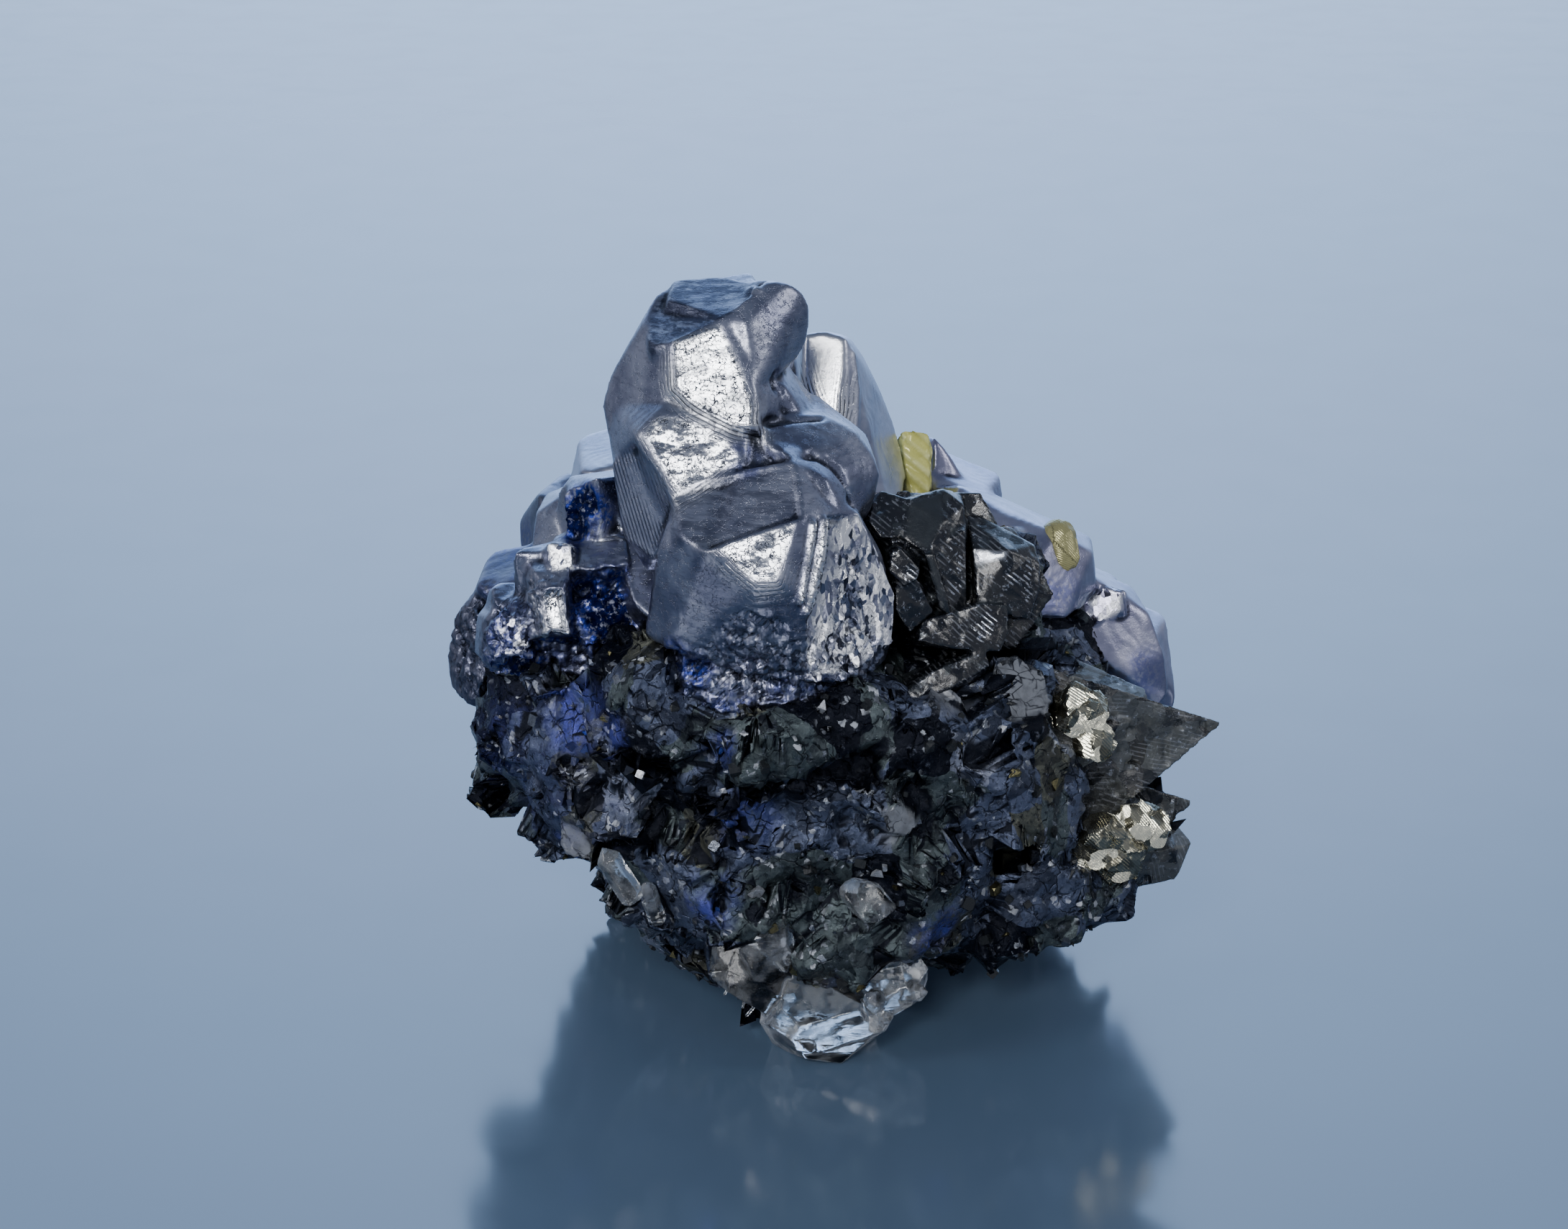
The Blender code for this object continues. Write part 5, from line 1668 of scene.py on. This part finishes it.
# The ridge of galena.
RIDGE_GROWTHS = (
    Hull((
        (8.2, 13.0, 36.7), (9.3, 13.0, 35.4), (10.3, 13.2, 33.5), (11.2, 13.0, 32.3), (8.2, 11.0, 32.5),
        (11.0, 11.5, 30.6), (7.0, 17.0, 36.0), (9.5, 17.0, 33.0), (6.0, 17.0, 28.0), (11.0, 16.0, 28.0),
        (6.0, 12.0, 28.0),
    )),
    Hull((
        (9.6, 6.0, 35.1), (10.7, 5.0, 34.7), (13.0, 2.8, 33.8), (15.6, 2.6, 33.0), (16.9, 2.5, 32.5),
        (18.2, 3.4, 31.2), (19.7, 4.0, 30.5), (20.0, 4.5, 28.6), (20.1, 5.0, 27.0), (20.0, 9.0, 30.0),
        (15.2, -0.6, 31.0), (15.2, -2.2, 27.6), (17.4, -0.8, 27.0), (9.9, 0.0, 30.0), (8.0, 12.0, 33.0),
        (13.0, 13.0, 32.0), (18.0, 12.0, 29.0), (8.0, 10.0, 28.0), (18.0, 10.0, 23.0),
    )),
    Hull((
        (18.4, 5.0, 28.2), (19.6, 6.0, 28.0), (18.9, 4.5, 25.6), (20.2, 6.0, 26.5), (22.4, 7.0, 26.2),
        (24.4, 7.0, 24.5), (25.6, 6.6, 21.4), (26.0, 6.4, 18.3), (25.0, 6.0, 16.8), (22.6, 3.9, 20.6),
        (19.8, 3.5, 22.4), (19.1, 3.7, 24.1), (18.5, 12.0, 27.0), (23.5, 12.0, 25.0), (25.5, 12.0, 18.0),
        (19.0, 12.0, 18.0),
    )),
)
RIDGE_FACES = (
    Face(((13.3, 0.7, 33.8), (14.4, 0.7, 33.9), (14.5, 0.3, 33.1), (13.5, 0.3, 33.0)), MIRROR_WAY, 0.8),
    Face((
        (18.5, 4.6, 26.2), (20.6, 6.2, 27.2), (22.6, 7.0, 26.5), (22.6, 6.0, 24.8), (19.9, 4.4, 24.4),
        (18.6, 4.0, 24.7),
    ), MIRROR_WAY, 2.4, Lustre.FLECKED, 0.7),
)
RIDGE_BLUE = (
    Patch((15.9, -2.0, 29.1), 3.4, 0.6),
    Patch((24.1, 5.0, 20.5), 2.2, 0.6),
    Patch((9.8, 9.0, 33.2), 2.2, 0.5),
    Patch((17.0, 0.5, 29.0), 2.6, 0.5),
)

# The brassy crest and the olive bead.
CREST_GROWTHS = (
    Hull((
        (5.5, 9.6, 38.2), (6.4, 9.2, 38.4), (7.6, 9.4, 38.0), (8.0, 10.2, 36.6), (8.0, 9.8, 34.6), (7.6, 8.8, 33.1),
        (6.6, 8.4, 32.8), (5.9, 8.8, 35.5), (4.8, 12.0, 36.4), (7.2, 12.0, 36.2), (4.8, 12.5, 31.0),
        (8.0, 12.5, 31.0),
    )),
)
OLIVE_GROWTHS = (Arch(((17.0, 3.0, 32.0), (17.3, 2.2, 30.3)), 1.45),)

# The two large groups of striated black crystals.
TWIN_GROWTHS = (
    Hull((
        (8.0, -9.0, 39.7), (5.4, -10.5, 39.4), (4.9, -12.5, 37.2), (6.7, -13.4, 36.3), (7.9, -11.6, 38.1),
        (9.4, -9.5, 38.6), (9.5, -11.5, 35.6), (4.0, -5.0, 37.5), (9.5, -5.0, 38.0), (4.0, -5.0, 32.0),
        (10.0, -5.0, 32.0),
    )),
    Hull((
        (6.7, -13.0, 36.1), (9.4, -11.4, 37.5), (9.5, -12.6, 32.1), (8.3, -13.2, 31.6), (7.3, -13.6, 33.0),
        (6.0, -6.0, 37.0), (10.0, -6.0, 37.0), (6.0, -6.0, 31.0), (10.0, -6.0, 31.0),
    )),
    Hull((
        (4.1, -14.6, 36.9), (4.8, -14.6, 37.2), (6.2, -14.6, 35.6), (6.1, -14.9, 35.0), (5.0, -15.0, 34.4),
        (4.0, -14.9, 35.5), (3.5, -8.0, 36.0), (6.5, -8.0, 35.0), (4.0, -8.0, 33.0),
    )),
    Hull((
        (6.4, -13.8, 36.5), (7.2, -13.8, 36.6), (8.1, -14.2, 33.4), (8.5, -14.0, 31.8), (7.5, -14.2, 32.6),
        (6.5, -9.0, 35.5), (8.5, -9.0, 31.0),
    )),
    Hull((
        (2.9, -10.5, 39.0), (3.6, -9.6, 39.7), (5.4, -10.2, 39.3), (4.9, -12.8, 37.3), (3.5, -13.2, 37.4),
        (2.6, -12.2, 38.4), (1.5, -6.0, 38.0), (5.0, -6.0, 38.0), (1.5, -6.0, 34.0), (5.0, -6.0, 34.0),
    )),
    Hull((
        (4.4, -14.6, 34.5), (6.1, -14.2, 34.6), (7.2, -14.2, 32.4), (5.5, -14.8, 31.0), (4.5, -15.0, 32.7),
        (3.5, -8.0, 33.0), (7.0, -8.0, 33.0), (4.0, -8.0, 29.0), (7.0, -8.0, 29.0),
    )),
)
BLOCK_GROWTHS = (
    Hull((
        (9.6, -7.5, 37.2), (10.6, -7.0, 37.0), (12.2, -8.2, 36.3), (14.5, -8.5, 35.3), (14.8, -9.8, 34.3),
        (14.7, -10.6, 32.7), (14.0, -11.6, 30.8), (9.9, -10.6, 35.8), (12.5, -10.8, 35.7), (12.3, -11.1, 35.1),
        (11.1, -11.1, 34.8), (10.1, -11.1, 34.7), (10.3, -12.2, 31.7), (10.0, -4.5, 35.0), (14.5, -4.5, 34.0),
        (10.0, -5.0, 29.0), (14.5, -5.0, 29.0),
    )),
    Hull((
        (6.3, -14.2, 31.8), (10.5, -13.6, 32.8), (12.4, -13.2, 32.6), (12.4, -13.9, 30.7), (11.8, -14.4, 29.5),
        (8.5, -15.0, 29.9), (6.0, -15.0, 30.5), (5.5, -9.0, 31.0), (12.0, -9.0, 31.0), (5.5, -9.0, 28.0),
        (12.0, -9.0, 28.0),
    )),
    Hull((
        (5.1, -16.2, 27.2), (7.3, -15.4, 28.6), (10.7, -14.6, 29.8), (11.1, -15.0, 28.7), (8.3, -16.0, 27.3),
        (5.7, -16.6, 26.4), (5.0, -12.0, 27.0), (10.5, -11.0, 28.5), (11.0, -11.0, 26.0),
    )),
)
TWIN_FACES = (
    Face((
        (4.1, -14.6, 36.9), (4.8, -14.6, 37.2), (6.2, -14.6, 35.6), (6.1, -14.6, 34.9), (5.0, -14.6, 34.2),
        (4.0, -14.6, 35.4),
    ), VIEW_WAY, 3.0, Lustre.RIBBED),
    Face((
        (6.9, -12.4, 35.7), (9.3, -12.4, 37.4), (9.6, -12.4, 32.3), (8.4, -12.4, 31.4), (8.2, -12.4, 33.1),
    ), VIEW_WAY, 3.0, Lustre.RIBBED),
    Face((
        (2.8, -10.5, 39.5), (3.7, -10.5, 40.1), (5.1, -10.5, 38.7), (3.1, -10.5, 37.9),
    ), VIEW_WAY, 3.0, Lustre.RIBBED),
    Face((
        (7.9, -11.2, 40.3), (5.4, -11.2, 39.6), (5.0, -11.2, 36.8), (6.8, -11.2, 35.6), (8.0, -11.2, 37.9),
    ), VIEW_WAY, 3.0, Lustre.DUSKY),
    Face((
        (6.4, -14.0, 36.5), (7.1, -14.0, 36.6), (8.1, -14.0, 33.4), (8.5, -14.0, 31.8), (7.6, -14.0, 32.5),
    ), VIEW_WAY, 3.0, Lustre.DUSKY),
)
BLOCK_FACES = (
    Face((
        (9.9, -10.6, 35.8), (12.5, -10.8, 35.7), (12.3, -11.1, 35.1), (11.1, -11.1, 34.8), (10.1, -11.1, 34.7),
    ), RIGHT_WAY, 0.9),
    Face((
        (11.4, -11.2, 33.8), (12.6, -11.2, 34.8), (14.6, -11.2, 35.6), (14.7, -11.2, 32.9), (14.0, -11.2, 31.6),
        (12.0, -11.2, 32.4),
    ), VIEW_WAY, 3.0, Lustre.RIBBED),
    Face((
        (9.6, -14.2, 31.5), (10.8, -14.2, 32.6), (12.2, -14.2, 32.8), (12.2, -14.2, 30.8), (11.5, -14.2, 29.8),
        (10.0, -14.2, 30.0),
    ), VIEW_WAY, 3.0, Lustre.RIBBED),
)

# Lumps that the rock gains.
ROCK_GROWTHS = (
    Hull((
        (11.2, -14.2, 29.4), (13.0, -13.8, 29.6), (15.4, -13.8, 28.2), (15.8, -14.4, 24.9), (12.5, -15.7, 24.1),
        (10.2, -15.5, 25.9), (10.5, -10.0, 28.0), (15.6, -10.0, 28.0), (10.5, -10.0, 23.0), (15.8, -10.0, 23.0),
    )),
    Hull((
        (-3.1, -20.6, 10.2), (-1.2, -20.8, 11.1), (1.6, -20.6, 10.3), (2.4, -20.0, 7.2), (0.9, -19.9, 5.0),
        (-2.2, -20.3, 5.6), (-4.0, -12.0, 11.0), (3.0, -12.0, 11.0), (-3.0, -12.0, 5.0), (2.5, -12.0, 5.5),
    )),
)

# Tarnish and crust at the back of the left group.
REAR_BLUE = (
    Patch((-21.5, -3.0, 33.0), 3.6, 0.7),
    Patch((-26.5, -2.0, 31.0), 3.0, 0.6),
    Patch((-24.0, 4.0, 30.0), 4.0, 0.5),
)
LEFT_REAR_ROUGH = (Patch((-26.5, -3.0, 25.5), 4.6, 0.9), Patch((-25.5, -3.5, 30.0), 2.6, 0.6))

# The groups of crystals that have settings of their own.
BLENDES = (
    StriatedCrystal(
        "sphalerite_twin", Mineral.SPHALERITE, STRIPES, waver=0.06,
        cut=((8.0, -8.0, 34.0), (0.0, -1.0, 0.35)),
        growths=TWIN_GROWTHS, faces=TWIN_FACES,
    ),
    StriatedCrystal(
        "sphalerite_block", Mineral.SPHALERITE, STRIPES, waver=0.06,
        cut=((12.0, -8.0, 31.0), (0.0, -1.0, 0.35)),
        growths=BLOCK_GROWTHS, faces=BLOCK_FACES,
    ),
    StriatedCrystal("sphalerite_spike", Mineral.SPHALERITE, (0.3, -0.5, 1), depth=0.05, chips=0.3),
    StriatedCrystal("sphalerite_spur", Mineral.SPHALERITE, (1, 0, 0.4), depth=0.05, chips=0.3),
)
TOWER = MeltedGalena(
    "galena_tower", melting=7, cut=TOWER_CUT, growths=TOWER_GROWTHS, faces=TOWER_FACES, seams=TOWER_SEAMS,
    granular=TOWER_GRANULAR, patches=TOWER_BLUE,
)
REAR = MeltedGalena(
    "galena_rear", melting=6, cut=SPIRE_CUT, growths=SPIRE_GROWTHS, faces=(Face(SPIRE_FACE, MIRROR_WAY, 0.8),),
    seams=SPIRE_SEAMS, patches=ROCK_BLUE, seed=31,
)
LEFT = MeltedGalena(
    "galena_left", melting=1, cut=LEFT_CUT, growths=LEFT_GROWTHS, faces=LEFT_FACES, seams=LEFT_SEAMS,
    granular=LEFT_ROUGH, patches=LEFT_BLUE, seed=46,
)
RIDGE = MeltedGalena(
    "galena_ridge", melting=7, growths=RIDGE_GROWTHS, faces=RIDGE_FACES, patches=RIDGE_BLUE + ROCK_BLUE, seed=36
)
CREST = StriatedCrystal(
    "chalcopyrite_crest", Mineral.CHALCOPYRITE, STRIPES, 0.13, band=0.9, depth=0.3, waver=0.05,
    cut=((7.0, 10.0, 32.5), (0.0, 0.0, 1.0)), growths=CREST_GROWTHS,
)
BEAD = StriatedCrystal(
    "chalcopyrite_ridge", Mineral.CHALCOPYRITE, STRIPES, 0.13, rounding=4, depth=0.05,
    cut=((16.0, 10.0, 25.0), (0.0, 0.0, 1.0)), growths=OLIVE_GROWTHS,
)


def main() -> None:
    """Builds the specimen and the studio."""
    logging.basicConfig(level=logging.INFO, format="%(message)s")
    galena, blende = GalenaFinish().make(), BlendeFinish().make()
    # Painted light and shade: the smooth copy, which has no crackle, is also paler, painted light for the spire; the
    # shaded copy is darker, painted shade for the pieces at the back.
    smooth = GalenaFinish("galena_smooth", pale=(0.60, 0.62, 0.73), grey=(0.40, 0.42, 0.53), cracked=0.0).make()
    lilac = GalenaFinish("galena_lilac", pale=(0.56, 0.56, 0.70), grey=(0.34, 0.34, 0.47), cracked=0.2).make()
    shaded = GalenaFinish("galena_shaded", pale=(0.27, 0.28, 0.36), grey=(0.13, 0.14, 0.20), cracked=0.4).make()
    greenish = BlendeFinish("blende_green", dull=(0.17, 0.18, 0.178), line_gap=0.3, everywhere=0.4, mosaic=0.95).make()
    yellow = BrassFinish("chalcopyrite_brass", (1.0, 1.0, 0.40), (0.80, 0.78, 0.16), 0.05, 0.35, 0.6, 0.9).make()
    dim = BrassFinish("chalcopyrite_olive", (0.50, 0.47, 0.22), (0.26, 0.24, 0.12), 0.3, 0.2).make()
    brass = BrassFinish("chalcopyrite_pale", (0.96, 0.93, 0.72), (0.12, 0.11, 0.075)).make()
    quartz, ore, grains = QuartzFinish().make(), RockFinish().make(), GrainFinish().make()
    TOWER.build(galena)
    REAR.build(smooth)
    LEFT.build(galena)
    RIDGE.build(lilac)
    MeltedGalena("galena_left_rear", melting=12, granular=LEFT_REAR_ROUGH, patches=REAR_BLUE, seed=51).build(shaded)
    MeltedGalena("galena_back", melting=6, patches=ROCK_BLUE, seed=41).build(shaded)
    for crystal in BLENDES:
        crystal.build(blende if crystal.growths else greenish)
    CREST.build(yellow)
    BEAD.build(dim)
    for node, facets in (("blades", 1.5), ("spark", 1.3), ("back", 2.2)):
        name = "chalcopyrite_" + node
        StriatedCrystal(name, Mineral.CHALCOPYRITE, STRIPES, 0.13, depth=0.06, facets=facets).build(brass)
    for node in ("lens", "blade", "needle"):
        ClearQuartz("quartz_" + node).build(quartz)
    foot = ClearQuartz("quartz_foot").build(quartz)
    CrystalField("quartz_prisms", Habit.NEEDLE, Mineral.QUARTZ, 0.05, 0.16, 0.32, lean=0.3).build(foot, quartz)
    rock = BrokenRock(growths=ROCK_GROWTHS, patches=ROCK_BLUE, seams=ROCK_SEAMS, faces=ROCK_FACES).build(ore)
    CrystalField("ore_rubble", Habit.BROKEN, Mineral.ROCK, 0.05, 0.25, 0.7).build(rock, grains)
    CrystalField("ore_blocks", Habit.BLOCK, Mineral.GALENA, 0.02, 0.2, 0.5, seed=8).build(rock, grains)
    Studio().build()


if __name__ == "__main__":
    main()
